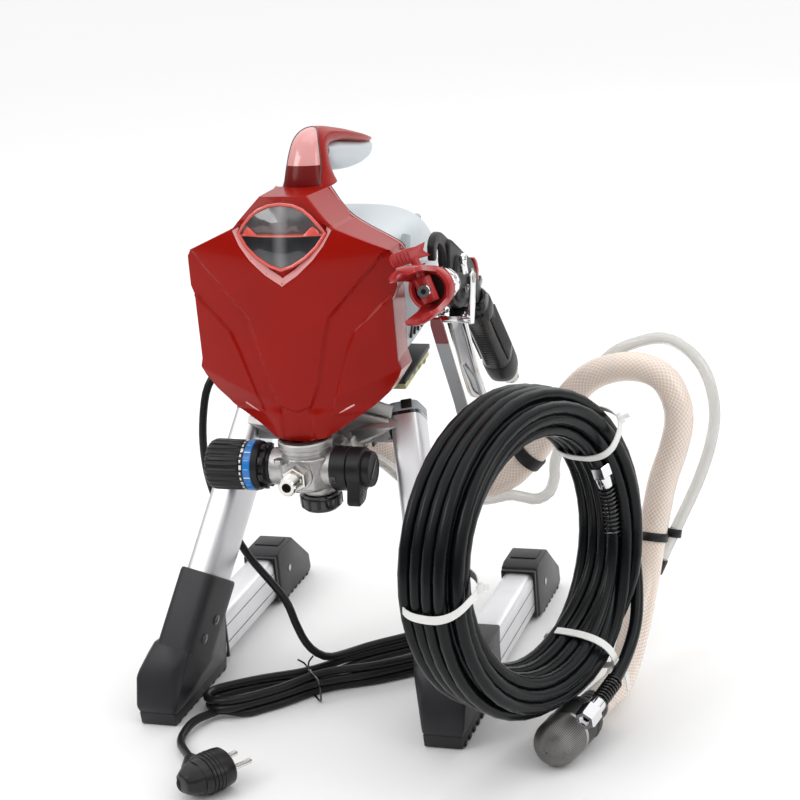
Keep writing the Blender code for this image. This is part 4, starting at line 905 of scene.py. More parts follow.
def fluted(shape, base, axis, profile, flutes, material):
    """A turned piece with grip flutes; profile rows are (radius, distance, flute depth)."""
    turn, per = frame_of(axis).to_3x3(), 8
    rings_ = []
    for radius, distance, depth in profile:
        row = []
        for i in range(flutes * per):
            angle = TWO_PI * i / (flutes * per)
            share = (i % per) / per
            size = radius - depth * step(share, 0.40, 0.62) * (1 - step(share, 0.86, 1.0))
            row.append(Vector(base) + spun(turn, size, angle, distance))
        rings_.append(row)
    return shape.loft(rings_, material)


# ---------------------------------------------------------------- pump
PUMP_Y, VALVE_Z = 84.0, 204.5


def pump():
    shape = Shape()
    level = (PUMP_Y, VALVE_Z)
    shape.turned([(0, 0), (15.2, 0), (15.6, 1.0), (15.6, 16), (16.6, 20), (17.6, 30), (17.6, 40), (16.2, 44),
                  (16.2, 52.6), (0, 52.6)], (-29, *level), (1, 0, 0), CAST)
    shape.turned([(0, 0), (19.6, 0), (20.8, 1.5), (20.8, 28), (20.0, 31), (20.0, 31.9), (0, 31.9)],
                 (0, PUMP_Y, 188.8), (0, 0, 1), CAST, 60)
    shape.hull([(x, y, z) for x, y in ((-19, 78), (-8, 62.8), (12, 62.8), (21, 72), (21, 96), (-19, 96))
                for z in (191, 218)], CAST, 2.0, 3)
    shape.hull([(x, y, z) for x, y in ((-27, 74), (-15, 66.5), (-4, 66.5), (-2, 90), (-27, 92))
                for z in (197, 213)], CAST, 1.6, 3)
    shape.rod((9, PUMP_Y, 184.0), (9, PUMP_Y, 201), 14.2, CAST, bevel=0.8)
    shape.rod((12, 88, 207), (12, 125.6, 207), 12.0, CAST, bevel=1.0)
    shape.hull([(x, y, z) for x in (3, 22) for y in (88, 118) for z in (196, 217)], CAST, 2.0)
    shape.rod((0, 78, 205), (0, 60.9, 205), 12.6, CAST, 12.0, bevel=1.0)
    shape.rod((16, 100, 216), (24, 112, 199), 6.0, CAST)
    shape.rod((22, 110, 199), (30, 112, 199), 6.4, CAST)
    shape.turned([(0, 0), (4.8, 0), (4.8, 2.6), (4.2, 3.2), (0, 3.2)], (-18, 68, 213.4), (0, 0, 1), STEEL, 6)
    shape.object("pump_body", "machine", "pump_manifold", smooth=32.0)
    ring_ = Shape()
    ring_.turned([(15.5, 0), (21.2, 0), (21.8, 0.8), (21.8, 3.4), (21.2, 4.0), (21.2, 4.6), (22.5, 5.2), (22.5, 8.6),
                  (21.6, 9.7), (15.5, 9.7)], (0, PUMP_Y, 220.8), (0, 0, 1), CAST, 60)
    ring_.turned([(16, 9.4), (20.4, 9.4), (20.4, 10.6), (16, 10.6)], (0, PUMP_Y, 220.8), (0, 0, 1), BLACK_GLOSS, 60)
    ring_.object("pump_ring", "machine", "pump_collar", smooth=32.0)

    cap = Shape()
    cap.turned([(0, 0), (14.0, 0), (17.2, 3.0), (17.4, 4.0), (17.4, 11.2), (17.0, 12.2), (16.4, 12.6), (16.4, 14.1),
                (0, 14.1)], (9, PUMP_Y, 169.6), (0, 0, 1), BLACK_GLOSS, 56)
    for _, out, axes in spokes(6, 0.5, upright=True):
        cap.block(Vector((9, PUMP_Y, 177.4)) + out * 15.6, axes, (1.6, 5.4, 4.4), BLACK, 0.5)
    cap.turned([(3.0, -0.2), (9.5, -0.2), (9.5, 0.6), (3.0, 0.6)], (9, PUMP_Y, 169.6), (0, 0, 1), BLACK, 40)
    cap.object("inlet_cap", "machine", "inlet_valve_cap")

    nipple = Shape()
    nipple.turned([(4.2, 0), (9.6, 0), (10.6, 1.0), (10.6, 9.6), (9.6, 10.8), (4.2, 10.8)], (0, 49.9, 205), (0, 1, 0),
                  CHROME_WARM, 6)
    profile = [(4.0, 0), (6.4, 0), (7.0, 1.0)]
    for k in range(8):
        profile += [(7.6, 1.6 + 1.5 * k), (6.7, 2.35 + 1.5 * k)]
    profile += [(6.7, 15.4), (4.0, 15.4)]
    nipple.turned(profile, (0, 34.8, 205), (0, 1, 0), CHROME_WARM, 48)
    nipple.turned([(0, 9), (4.1, 9), (4.1, 10), (0, 10)], (0, 34.8, 205), (0, 1, 0), BLACK, 40)
    nipple.object("outlet", "machine", "outlet_nipple", smooth=30.0)


def pressure_parts():
    level = (PUMP_Y, VALVE_Z)
    collar = Shape()
    collar.turned([(8, 0), (14.4, 0), (15.0, 0.8), (15.0, 2.4), (16.8, 3.2), (17.0, 5.0), (16.0, 5.8), (16.2, 7.6),
                   (19.2, 8.8), (20.4, 11.0), (20.6, 13.2), (8, 13.2)], (-29.8, *level), (-1, 0, 0), BLACK, 60)
    for _, out, axes in spokes(8, 0.3):
        collar.block(Vector((-35.2, *level)) + out * 17.6, axes, (1.5, 3.2, 2.4), BLACK, 0.5)
    collar.object("pressure_collar_visual", "machine", "pressure_collar", smooth=32.0)
    scale = Shape()
    scale.turned([(8, 0), (20.6, 0), (21.2, 0.6), (21.2, 6.0), (20.8, 6.4), (8, 6.4)], (-43.4, *level), (-1, 0, 0),
                 BLUE, 64)
    scale.turned([(8, 6.3), (20.7, 6.3), (20.7, 10.4), (8, 10.4)], (-43.4, *level), (-1, 0, 0), BLACK, 64)
    for k, out, axes in spokes(26):
        tall = 2.2 if k % 3 else 3.4
        half = (0.35, 1.3 if k % 3 else 1.9, 0.55 * tall * 0.6)
        scale.block(Vector((-52.6 + (tall - 1.5) * 0.4, *level)) + out * 20.6, axes, half,
                    SILVER if k % 2 else NYLON, 0.2)
    for k, out, axes in spokes(18, 0.5):
        scale.block(Vector((-46.6, *level)) + out * 21.1, axes, (0.25, 0.45, 1.9 if k % 3 else 2.8),
                    NYLON if k % 3 == 0 else BLUE_PALE, 0.1)
    scale.object("scale_ring", "machine", "pressure_scale_ring", smooth=32.0)
    knob = Shape()
    fluted(knob, (-54.4, *level), (-1, 0, 0), [(20.2, 0, 0.0), (20.6, 0.6, 0.5), (20.9, 2.2, 1.0), (21.1, 14, 1.1),
                                                (21.2, 25.0, 1.2), (20.6, 27.6, 1.1), (19.6, 29.4, 0.5),
                                                (18.6, 30.2, 0.0)], 24, BLACK)
    knob.turned([(0, 0), (15.8, 0), (17.6, -0.7), (18.7, -1.6), (0, -1.8)], (-85.0, *level), (-1, 0, 0), BLACK, 60)
    knob.turned([(0, 0.0), (4.2, 0.0), (4.8, -0.4), (4.8, -0.8), (0, -0.8)], (-85.2, *level), (-1, 0, 0),
                BLACK_GLOSS, 40)
    knob.object("knob", "pressure_control", "pressure_knob", smooth=45.0)


def prime_parts():
    level = (PUMP_Y, VALVE_Z)
    body = Shape()
    body.turned([(4, 0), (17.4, 0), (18.3, 1.0), (18.3, 13.2), (17.6, 13.7), (4, 13.7)], (24.4, *level), (1, 0, 0),
                BLACK, 60)
    for _, out, axes in spokes(3, 19 / 12):
        body.block(Vector((27.4, *level)) + out * 18.0, axes, (0.9, 3.2, 2.9), BLACK_GLOSS, 0.4)
    body.object("prime_body", "machine", "prime_valve_body", smooth=32.0)
    knob = Shape()
    knob.turned([(0, 0), (17.4, 0), (18.0, 0.7), (18.0, 11.2), (17.0, 12.2), (14.8, 12.6), (14.8, 16.8), (14.0, 18.6),
                 (12.8, 18.9), (12.2, 18.3), (0, 18.3)], (38.4, *level), (1, 0, 0), BLACK, 60)
    arm = [(PUMP_Y + y, VALVE_Z + z) for y, z in ((-17, 4), (-17.4, -7), (-22, -22), (-19.4, -25.6), (-10, -25.8),
                                                    (-4.5, -24.5), (3, -15.5), (14, -9), (12, 6))]
    knob.prism(arm, 39.2, 50.2, BLACK, 1.4, 3)
    for k in range(3):
        knob.block(Vector((50.0, PUMP_Y - 14.5 + 2.2 * k, VALVE_Z - 19.5 + 2.4 * k)),
                   (X_WAY, Vector((0, 0.70, 0.71)), Vector((0, -0.71, 0.70))), (0.7, 0.55, 4.2),
                   BLACK_GLOSS, 0.2)
    knob.block(Vector((57.0, *level)), (X_WAY, Vector((0, 0.8, 0.6)), Vector((0, -0.6, 0.8))),
               (0.35, 9.5, 1.1), BLACK_GLOSS, 0.2)
    knob.object("prime_lever", "prime_control", "prime_knob", smooth=32.0)


def suction_parts():
    fitting = Shape()
    fitting.turned([(0, 0), (12.2, 0), (13.2, 1), (13.2, 11), (12.2, 12), (0, 12)], (12, 126.4, 207), (0, 1, 0),
                   STEEL, 6)
    way = (Vector((12.7, 147, 206.8)) - Vector((12, 138, 207))).normalized()
    barb = [(0, 0)]
    for k in range(3):
        barb += [(8.2, 1.0 + 3.0 * k), (9.4, 1.6 + 3.0 * k)]
    barb += [(8.6, 9.1), (6.4, 9.1), (0, 9.1)]
    fitting.turned(barb, (12, 138, 207), way, STEEL, 40)
    fitting.object("suction_nut", "machine", "suction_fitting", smooth=30.0)
    barb = Shape()
    way = (Vector((33.3, 131, 197.2)) - Vector((30, 112, 199))).normalized()
    barb.turned([(2.6, 0), (4.4, 0), (4.4, 10), (4.9, 11), (4.0, 13.5), (4.9, 14), (4.0, 17), (3.2, 19.2), (2.6, 19.2)],
                Vector((30, 112, 199)), way, STEEL, 32)
    barb.turned([(3, 0), (6.4, 0), (7.0, 0.6), (7.0, 6.4), (6.4, 7.0), (3, 7.0)], Vector((30, 112, 199)) + way * 1.5,
                way, STEEL, 6)
    barb.object("return_nipple", "machine", "return_barb", smooth=30.0)
    clamp = Shape()
    axis = Vector((0.18, 0.95, -0.22)).normalized()
    base = Vector((13.8, 156.5, 205.8))
    clamp.turned([(14.0, -3.4), (15.4, -3.6), (15.8, -3.0), (15.8, 3.0), (15.4, 3.6), (14.0, 3.4)], base, axis,
                 STEEL, 56)
    turn = frame_of(axis).to_3x3()
    for k in range(16):
        out = spun(turn, 1, math.radians(-60 + 12 * k))
        clamp.block(base + out * 15.9, (out, axis, out.cross(axis)), (0.25, 2.4, 0.5), DARK_STEEL, 0.1)
    clamp.hull([(x, y, z) for x in (28.3, 31.6) for y in (154.6, 160.4) for z in (202.2, 210)], STEEL, 0.8)
    clamp.rod((30.4, 157.4, 200.6), (30.4, 157.4, 212.0), 2.4, STEEL, sides=24)
    clamp.block(Vector((32.4, 157, 206.5)), (X_WAY, Y_WAY, Z_WAY),
                (0.9, 4.0, 9.4), BLACK, 0.7)
    clamp.object("clamp", "machine", "suction_hose_clamp", smooth=32.0)


# ---------------------------------------------------------------- hoses
SUCTION_ROUTE = [(13, 152, 206.5), (15, 162, 204.5), (21, 174, 196), (35, 189, 175), (72, 206, 150), (105, 216, 142),
                 (129, 220, 149), (142, 222, 160), (155, 224, 174), (171, 226, 197), (186, 228, 219),
                 (206, 230, 238), (230, 232, 246), (253, 232, 245), (269, 230, 236), (278, 228, 219),
                 (280, 225, 200), (275, 220, 177), (267, 215, 154), (262, 208, 131), (257, 200, 103),
                 (253, 185, 72), (250, 158, 44), (248, 125, 26), (246, 98, 19.5), (240.4, 78, 18.5),
                 (235.5, 60, 18.5)]
RETURN_ROUTE = [(34.3, 134, 196.8), (42, 150, 184), (51, 171, 161), (63, 189, 140), (80, 207, 128), (95, 217, 125.5),
                (110, 226, 124), (125, 234, 125), (136, 240, 121), (147, 244, 118), (158, 246, 124), (164, 245, 139),
                (166, 244, 155), (176, 245, 181), (192, 249, 217), (217, 251, 249), (242, 251, 262), (267, 250, 266),
                (288, 247, 255), (302, 243, 236), (308, 239, 208), (305, 234, 181), (295, 227, 150), (281, 219, 119),
                (268, 211, 92), (259, 206, 72)]


SUCTION_RADIUS, RETURN_RADIUS, HOSE_RADIUS, CORD_RADIUS = 12.4, 5.0, 5.2, 3.5
SUCTION_SPACING = 5.0


def suction_hose():
    """The braided hose; its centreline and the tube have the same points."""
    path = smooth_route(SUCTION_ROUTE, SUCTION_SPACING)
    cell, sides = 3.7, 48
    around = round(TWO_PI * SUCTION_RADIUS / cell)
    shape = Shape()
    shape.tube(path, SUCTION_RADIUS, BRAID, sides, uv=(around / sides, SUCTION_SPACING / cell * 0.9))
    shape.turned([(9.4, -0.6), (12.3, -0.6), (12.4, 0.4), (9.4, 0.4)], path[0], path[1] - path[0], BRAID_END, 44)
    made = shape.object("suction_hose_braided", "machine", "suction_hose", smooth=60.0)
    return made, path


def strainer():
    rear, way = Vector((234.9, 57.6, 18.5)), Vector((-0.216, -0.976, 0)).normalized()
    shape = Shape()
    profile = [(9.0, 0), (11.8, 0), (12.5, 0.8), (12.5, 4), (11.9, 4.6), (12.5, 5.4), (12.5, 9), (11.9, 9.6),
               (12.5, 10.4), (12.5, 13.6), (14.0, 15.4), (15.6, 17.6), (17.6, 19.4), (18.0, 21.0), (18.2, 24),
               (18.2, 28), (17.6, 28.6), (17.6, 30.4), (18.2, 31), (18.2, 46.2), (17.6, 47.0), (9.0, 47.0)]
    shape.turned(profile, rear, way, BLACK_MATTE, 64)
    turn = frame_of(way).to_3x3()
    for k in range(20):
        out = spun(turn, 1, TWO_PI * k / 20)
        shape.block(rear + way * 25.0 + out * 18.0, (out, out.cross(way), way), (0.5, 1.2, 2.6), BLACK_MATTE, 0.4)
    body = shape.object("strainer_top", "machine", "strainer_body", smooth=32.0)
    mesh = Shape()
    dome = [math.radians(a) for a in (8, 20, 32, 44, 56, 66, 75, 82, 87)]
    levels = ([(18.3, 47.3 + 1.9 * k) for k in range(9)] + [(18.3, 64)]
              + [(18.3 * math.cos(a), 65 + 18.6 * math.sin(a)) for a in dome])
    rows = [[rear + way * distance + spun(turn, radius, TWO_PI * i / 72) for i in range(72)]
            for radius, distance in levels]
    mesh.loft(rows, MESH, uv=(0.72, 0.9))
    mesh.turned([(17.6, 46.6), (18.6, 46.8), (18.8, 48.4), (18.5, 50.2), (17.6, 50.2)], rear, way, STEEL, 64)
    screen = mesh.object("strainer_screen", "machine", "strainer_mesh", smooth=60.0)
    return body, screen


def return_hose():
    path = smooth_route(RETURN_ROUTE, 6.0)
    made = cord_curve("return_hose_clear", path, RETURN_RADIUS, CLEAR, "machine", "return_tube", resolution=5)
    end = Shape()
    way = (path[-1] - path[-4]).normalized()
    end.turned([(3.4, -12), (5.5, -12), (5.8, -11.2), (5.8, 0.6), (5.3, 1.4), (3.4, 1.4)], path[-1], way, BLACK, 36)
    tip = end.object("return_hose_end", "machine")
    clip = Shape()
    a, b = Vector((257.4, 201.5, 106)), Vector((273.6, 214.4, 104.2))
    run = Vector((0.1, 0.35, 0.93)).normalized()
    clip.turned(cuff(12.5, 14.2, 3.6, 0.6), a, run, BLACK, 44)
    clip.turned(cuff(5.1, 6.9, 3.6, 0.6), b, run, BLACK, 36)
    near = Vector((148.5, 223, 167))
    bend = (Vector((155, 224, 174)) - Vector((142, 222, 160))).normalized()
    clip.turned(cuff(12.5, 14.6, 5.6, 0.8), near, bend, BLACK, 48)
    clip.object("hose_clip", "machine")
    return made, path, tip


# ---------------------------------------------------------------- high-pressure coil
COIL_CENTRE = Vector((200.0, 30.0, 162.5))
COIL_RADIUS, COIL_START, TURN_POINTS, LAST_POINTS = 109.5, math.radians(-20), 44, 50
COIL_TURN, COIL_LEAN = math.radians(67.5), math.radians(5.0)
COIL_N = Vector((math.sin(COIL_TURN) * math.cos(COIL_LEAN), -math.cos(COIL_TURN) * math.cos(COIL_LEAN),
                 math.sin(COIL_LEAN)))
COIL_ACROSS = Vector((math.cos(COIL_TURN), math.sin(COIL_TURN), 0.0))
COIL_UP = COIL_N.cross(COIL_ACROSS)
if COIL_UP.z < 0:
    COIL_UP = -COIL_UP
NUT_START = Vector((248.7, 20.0, 41.5))
NUT_WAY = Vector((-0.25, -0.93, -0.20)).normalized()


def coil_point(angle, radial, axial):
    """A place in the bundle, whose section rocks and swells a little on its way round."""
    rock = 0.20 * math.sin(angle + 0.6) + 0.12 * math.sin(2 * angle + 2.0)
    radial, axial = (radial * math.cos(rock) - axial * math.sin(rock) * 0.55,
                     axial * math.cos(rock) + radial * math.sin(rock))
    radial += 1.6 * math.sin(2 * angle + 0.4)
    axial *= 1.0 + 0.05 * math.sin(angle - 2.4)
    r = COIL_RADIUS + radial
    return COIL_CENTRE + COIL_ACROSS * (r * math.cos(angle)) + COIL_UP * (r * math.sin(angle)) + COIL_N * axial


def coil_cells():
    """Where each turn sits in the bundle: four layers, packed, wound from the outside in."""
    cells = []
    for radial, axials in ((13.4, (10.5, 0, -10.5, -21.0)), (4.3, (-21.2, -10.8, -0.4, 10.0, 20.4)),
                           (-4.8, (18.2, 7.8, -2.6, -13.0, -23.4)), (-13.9, (-18.6, -8.2, 2.2, 12.6))):
        cells += [(radial, axial) for axial in axials]
    return cells


def coil_path():
    noise = random.Random(7)
    cells = coil_cells()
    points = []
    wobble = [(noise.uniform(0, TWO_PI), noise.uniform(0, TWO_PI), noise.uniform(0.4, 1.0), noise.uniform(0.4, 1.0))
              for _ in cells]
    for n, (radial, axial) in enumerate(cells):
        nxt = cells[n + 1] if n + 1 < len(cells) else None
        a, b, fore, aft = wobble[n]
        for i in range(TURN_POINTS if nxt else LAST_POINTS):
            share = i / TURN_POINTS
            ease = step(share, 0.84, 1.0) if nxt else 0.0
            r = radial + ((nxt[0] - radial) * ease if nxt else 0.0)
            z = axial + ((nxt[1] - axial) * ease if nxt else 0.0)
            fade = max(0.0, math.sin(math.pi * share)) ** 0.5
            r += 0.9 * fore * math.sin(TWO_PI * share + a) * fade
            z += 0.9 * aft * math.sin(2 * TWO_PI * share + b) * fade
            points.append(coil_point(COIL_START + TWO_PI * share, r, z))
    return points


def pressure_hose():
    """Eighteen turns, a lead out of the bundle's foot to the spring guard, and the tucked inner end."""
    turns = coil_path()
    lead = smooth_route([NUT_START - NUT_WAY * 0.5, NUT_START - NUT_WAY * 12, NUT_START - NUT_WAY * 26,
                         coil_point(math.radians(-59), 16.0, 31.0), coil_point(math.radians(-46), 16.6, 25.5),
                         coil_point(math.radians(-33), 15.6, 17.5), turns[0]], 5.0)
    points = lead[:-1] + turns
    made = cord_curve("pressure_hose", points, HOSE_RADIUS, HOSE, "machine", "high_pressure_hose_coil", resolution=5)
    nut = Shape()
    turn = frame_of(NUT_WAY).to_3x3()
    coils, per, guard = 9, 14, 30
    helix = [NUT_START + NUT_WAY * (-guard + guard * k / (coils * per)) + spun(turn, 6.2, TWO_PI * k / per)
             for k in range(coils * per + 1)]
    nut.tube(helix, 0.9, BLACK_GLOSS, 8)
    nut.turned([(3, -1), (6.4, -1), (6.6, 0), (6.6, 8.4), (6.2, 9), (3, 9)], NUT_START, NUT_WAY, CHROME, 44)
    nut.turned([(3, 8.6), (8.0, 8.6), (8.8, 9.6), (8.8, 22.6), (8.0, 23.8), (5.0, 23.8), (5.0, 21.0), (3, 21.0)],
               NUT_START, NUT_WAY, CHROME, 6)
    end = nut.object("hose_end", "machine", "hose_end_nut", smooth=30.0)
    return made, points, [end, inner_end(points)]


def inner_end(points):
    """The spring guard and coupling on the hose's inner end."""
    shape = Shape()
    run = smooth_route(points[-5:], 1.0)
    count = len(run)
    helix = []
    for k in range(count * 3):
        t = min(k / 3, count - 1.001)
        i = int(t)
        centre = run[i].lerp(run[i + 1], t - i)
        along = (run[i + 1] - run[i]).normalized()
        helix.append(centre + spun(frame_of(along, COIL_N).to_3x3(), 6.3, TWO_PI * t / 3.6))
    shape.tube(helix[:(count - 14) * 3], 0.8, BLACK_GLOSS, 7)
    way = (run[-1] - run[-4]).normalized()
    shape.turned([(5.3, 0), (6.7, 0), (7.0, 0.6), (7.0, 9.4), (6.6, 10), (5.3, 10)], run[-1] - way * 11, way,
                 CHROME, 40)
    shape.turned([(3, 0), (8.0, 0), (8.6, 0.8), (8.6, 10.0), (8.0, 10.8), (4.8, 10.8), (4.8, 8), (3, 8)],
                 run[-1] - way * 1.4, way, CHROME, 6)
    return shape.object("hose_inner_end", "machine", smooth=30.0)


# round the bundle in degrees, lean, which point carries the head, length of the tail, 1 where the tail hangs down
TIES = [(38.0, 5.0, 10, 7.0, 0), (176.0, 13.0, 20, 6.0, 0), (-66.0, 3.0, 10, 20.0, 1)]
STRAP_WIDE, STRAP_DEEP, STRAP_POINTS = 20.6, 30.6, 64


def coil_ties():
    """White nylon ties round the bundle: a flat strap, its head and a cut tail."""
    for number, (degrees, skew, head_at, reach, hangs) in enumerate(TIES, 1):
        shape = Shape()
        a = math.radians(degrees)
        outward = COIL_ACROSS * math.cos(a) + COIL_UP * math.sin(a)
        along = COIL_N.cross(outward).normalized()
        centre = COIL_CENTRE + outward * (COIL_RADIUS + 1.6 * math.sin(2 * a + 0.4))
        loop = []
        for k in range(STRAP_POINTS):
            t = TWO_PI * k / STRAP_POINTS
            c, s = math.cos(t), math.sin(t)
            u = math.copysign(abs(c) ** (2 / 2.6), c) * STRAP_WIDE
            v = math.copysign(abs(s) ** (2 / 2.6), s) * STRAP_DEEP
            out = (outward * (c / STRAP_WIDE) + COIL_N * (s / STRAP_DEEP)).normalized()
            loop.append((centre + outward * u + COIL_N * v + along * (skew * c), out))
        smoke_and_painted_bands = [[point + along * offset + out * lift
                  for offset, lift in ((-3.1, 0.0), (-3.1, 1.0), (3.1, 1.0), (3.1, 0.0))] for point, out in loop]
        shape.loft(smoke_and_painted_bands + [smoke_and_painted_bands[0]], NYLON, cap_start=False, cap_end=False)
        point, out = loop[head_at]
        side = out.cross(along).normalized()
        shape.block(point + out * 2.2, (side, along, out), (3.2, 3.6, 2.2), NYLON, 0.5)
        shape.block(point + out * 4.4, (side, along, out), (1.6, 2.0, 0.3), SILVER, 0.1)
        drop = -Z_WAY * hangs
        tail = smooth_route([point + out * 2.4, point + out * (2.4 + reach * 0.4) + side * 1.0 + drop * 3,
                             point + out * (2.4 + reach * (0.5 if hangs else 1.0)) + side * 2.0 + drop * 17], 3.0)
        shape.loft([[p + along * u + side * v for u, v in ((2.3, 0.5), (2.3, -0.5), (-2.3, -0.5), (-2.3, 0.5))]
                    for p in tail], NYLON)
        shape.object(f"hose_tie_{number}", "machine", smooth=30.0)


# ---------------------------------------------------------------- mains cord
CORD_DROP_ROUTE = [(-94.4, 162.8, 265.4), (-101, 158, 263), (-109, 152, 255), (-115, 147, 239), (-118.5, 141, 206),
                   (-116, 137, 172), (-104, 131, 138), (-89, 125, 117), (-75, 118, 102), (-43, 103, 76),
                   (-28, 98, 50), (-24, 98, 35), (-24, 99, 25)]
CORD_TAIL_ROUTE = [(-85, 16.5, 8), (-90, 5, 7), (-93, -7, 6), (-92, -22, 5), (-87, -35, 6), (-80.5, -45, 8),
                   (-73, -55, 10), (-64.5, -65.5, 12)]
HANK_START, HANK_END = Vector((-72, 43, 0)), Vector((62, 150, 0))
PLUG_CENTRE, PLUG_WAY = Vector((-36, -90, 16)), Vector((0.52, 0.85, 0)).normalized()


def hank_loops():
    """Three flattened loops lying on the floor, each a little off the last."""
    along = (HANK_END - HANK_START).normalized()
    across = Vector((-along.y, along.x, 0))
    reach = (HANK_END - HANK_START).length
    middle = (HANK_START + HANK_END) / 2
    # half width, height, shift along and how far the sides bow in
    loops = [(21.2, 3.7, 3.0, 10.0), (21.0, 10.7, -4.0, 8.0), (20.6, 17.0, 1.0, 11.0)]
    straight, fold = 11, 8
    points = []

    def put(lengthwise, sideways, height):
        points.append(middle + along * lengthwise + across * sideways + Z_WAY * height)

    for n, (half, height, shift, bow) in enumerate(loops):
        for way in SIDES:
            for i in range(straight):
                t = way * (1 - 2 * i / straight)
                waist = bow * math.exp(-((t + 0.15) / 0.42) ** 2) * (1 - t * t)
                put(t * (reach / 2) + shift, way * (half - waist), height)
            if way < 0:
                for i in range(fold):
                    a = -math.pi / 2 + math.pi * i / fold
                    put(reach / 2 + shift + half * math.cos(a), half * math.sin(a), height)
        if n < len(loops) - 1:
            half2, height2, shift2, _ = loops[n + 1]
            for i in range(fold):
                s = i / fold
                a = math.pi / 2 + math.pi * s
                size = half + (half2 - half) * s
                put(shift + (shift2 - shift) * s + size * math.cos(a) - reach / 2, size * math.sin(a),
                    height + (height2 - height) * step(s, 0, 1))
    return points, middle, along, across


def mains_cord():
    loops, middle, along, across = hank_loops()
    join_in = [(-33, 99, 55), (-26.5, 98, 40), (-19, 100, 28.5), (-8.5, 106.5, 20.5)]
    # the drop meets the hank's top loop on its near side, the bottom loop leads out to the plug
    chain = list(reversed(loops))
    start = min(range(len(chain) // 3), key=lambda i: (chain[i] - (middle + along * 26 + across * 17)).length)
    way_out, cone = [(-77.5, 27.0, 5.0), (-83.0, 18.0, 6.2)], [(-58.5, -71.0, 13.6)]
    path = smooth_route(CORD_DROP_ROUTE[:-3] + join_in + chain[start:] + way_out + CORD_TAIL_ROUTE[1:] + cone, 7.0)
    made = cord_curve("mains_cord", path, CORD_RADIUS, CORD, "machine", "power_cord_drop", "power_cord_hank",
                      "power_cord_tail", resolution=4)
    tie = Shape()
    base = Vector((-10, 72, 10))
    loop = []
    for k in range(40):
        a = TWO_PI * k / 40
        out = across * math.cos(a) + Vector((0, 0, math.sin(a)))
        c, s = math.cos(a), math.sin(a)
        loop.append(Vector((base.x, base.y, 10.4)) + across * (15.6 * math.copysign(abs(c) ** 0.5, c))
                    + Z_WAY * (10.1 * math.copysign(abs(s) ** 0.5, s)) + out * 0.2)
    tie.tube(loop + [loop[0], loop[1]], 0.9, BLACK_GLOSS, 8)
    twist = base + across * 14 + Vector((0, 0, 10))
    for sign in (-1, 1):
        tie.tube(smooth_route([twist, twist + across * 4 + along * sign * 2 + Vector((0, 0, 4)),
                               twist + across * 6 + along * sign * 7 + Vector((0, 0, 8))], 2.0), 0.8, BLACK_GLOSS, 8)
    wire = tie.object("cord_tie", "machine")
    return made, path, wire


def mains_plug():
    up = Z_WAY
    side = PLUG_WAY.cross(up)
    shape = Shape()
    shape.loft([ring(PLUG_CENTRE + PLUG_WAY * d, w, h, 2.0, 64, side, up)
                for d, w, h in ((14, 16.0, 13.4), (12.6, 17.6, 14.8), (9.0, 18.4, 15.4), (4.0, 18.7, 15.6),
                                (-4, 18.2, 15.2), (-9, 17.4, 14.8), (-14, 16.0, 13.8))], CORD_PLUG)
    shape.hull([PLUG_CENTRE + PLUG_WAY * a + side * u + up * v for a, w, h in ((-11, 15.6, 13.4), (-20, 13.0, 11.0),
                                                                             (-27, 8.5, 7.5))
                for u, v in ((w, h * 0.45), (w * 0.5, h), (-w * 0.5, h), (-w, h * 0.45), (w, -h * 0.45), (w * 0.5, -h),
                             (-w * 0.5, -h), (-w, -h * 0.45))], CORD_PLUG, 2.2, 3)
    for k in range(4):
        shape.loft([ring(PLUG_CENTRE + PLUG_WAY * (1.5 - 3.2 * k + d), w, h, 2.0, 64, side, up)
                    for d, w, h in ((0, 17.6, 14.6), (0.3, 19.0, 15.9), (1.1, 19.0, 15.9), (1.4, 17.6, 14.6))],
                   CORD_PLUG)
    for way in SIDES:
        screw = PLUG_CENTRE + up * way * 10.6
        shape.rod(screw + PLUG_WAY * 13, screw + PLUG_WAY * 14.4, 2.6, STEEL, sides=24)
    for way in SIDES:
        root = PLUG_CENTRE + side * way * 9.5
        shape.turned([(0, 13.8), (3.2, 13.8), (3.2, 14.6), (2.4, 14.8), (0, 14.8)], root, PLUG_WAY, BLACK, 28)
        shape.turned([(0, 14.4), (2.35, 14.4), (2.35, 31.0), (1.8, 32.0), (0, 32.3)], root, PLUG_WAY, PIN, 28)
    cone_end = Vector((-63.2, -67.2, 12.2))
    start = PLUG_CENTRE - PLUG_WAY * 21 - up
    axis = cone_end - start
    reach = axis.length
    profile = [(0, 0), (9.4, 0)]
    ribs = 7
    for k in range(ribs):
        t0, t1 = (k + 0.15) / ribs, (k + 0.75) / ribs
        profile += [(9.2 - 3.6 * t0, reach * t0), (9.2 - 3.6 * t1, reach * t1), (7.4 - 2.8 * t1, reach * (t1 + 0.01)),
                    (7.4 - 2.8 * t1, reach * (t1 + 0.045))]
    profile += [(4.4, reach * 0.985), (4.0, reach), (0, reach)]
    shape.turned(profile, start, axis, CORD_PLUG, 36)
    return shape.object("plug", "machine", "mains_plug", smooth=30.0)


# ---------------------------------------------------------------- spray gun
GUN_X = 115.0
NOZZLE, GUN_AXIS = Vector((GUN_X, 72, 357.7)), Vector((0, 134, -22)).normalized()
GRIP_TOP, GRIP_AXIS = Vector((GUN_X, 199, 317.5)), Vector((0, 90, -102)).normalized()
SPREAD = Vector((0.36, 0, -0.93))
SPREAD = (SPREAD - GUN_AXIS * SPREAD.dot(GUN_AXIS)).normalized()


def on_gun(distance):
    return NOZZLE + GUN_AXIS * distance


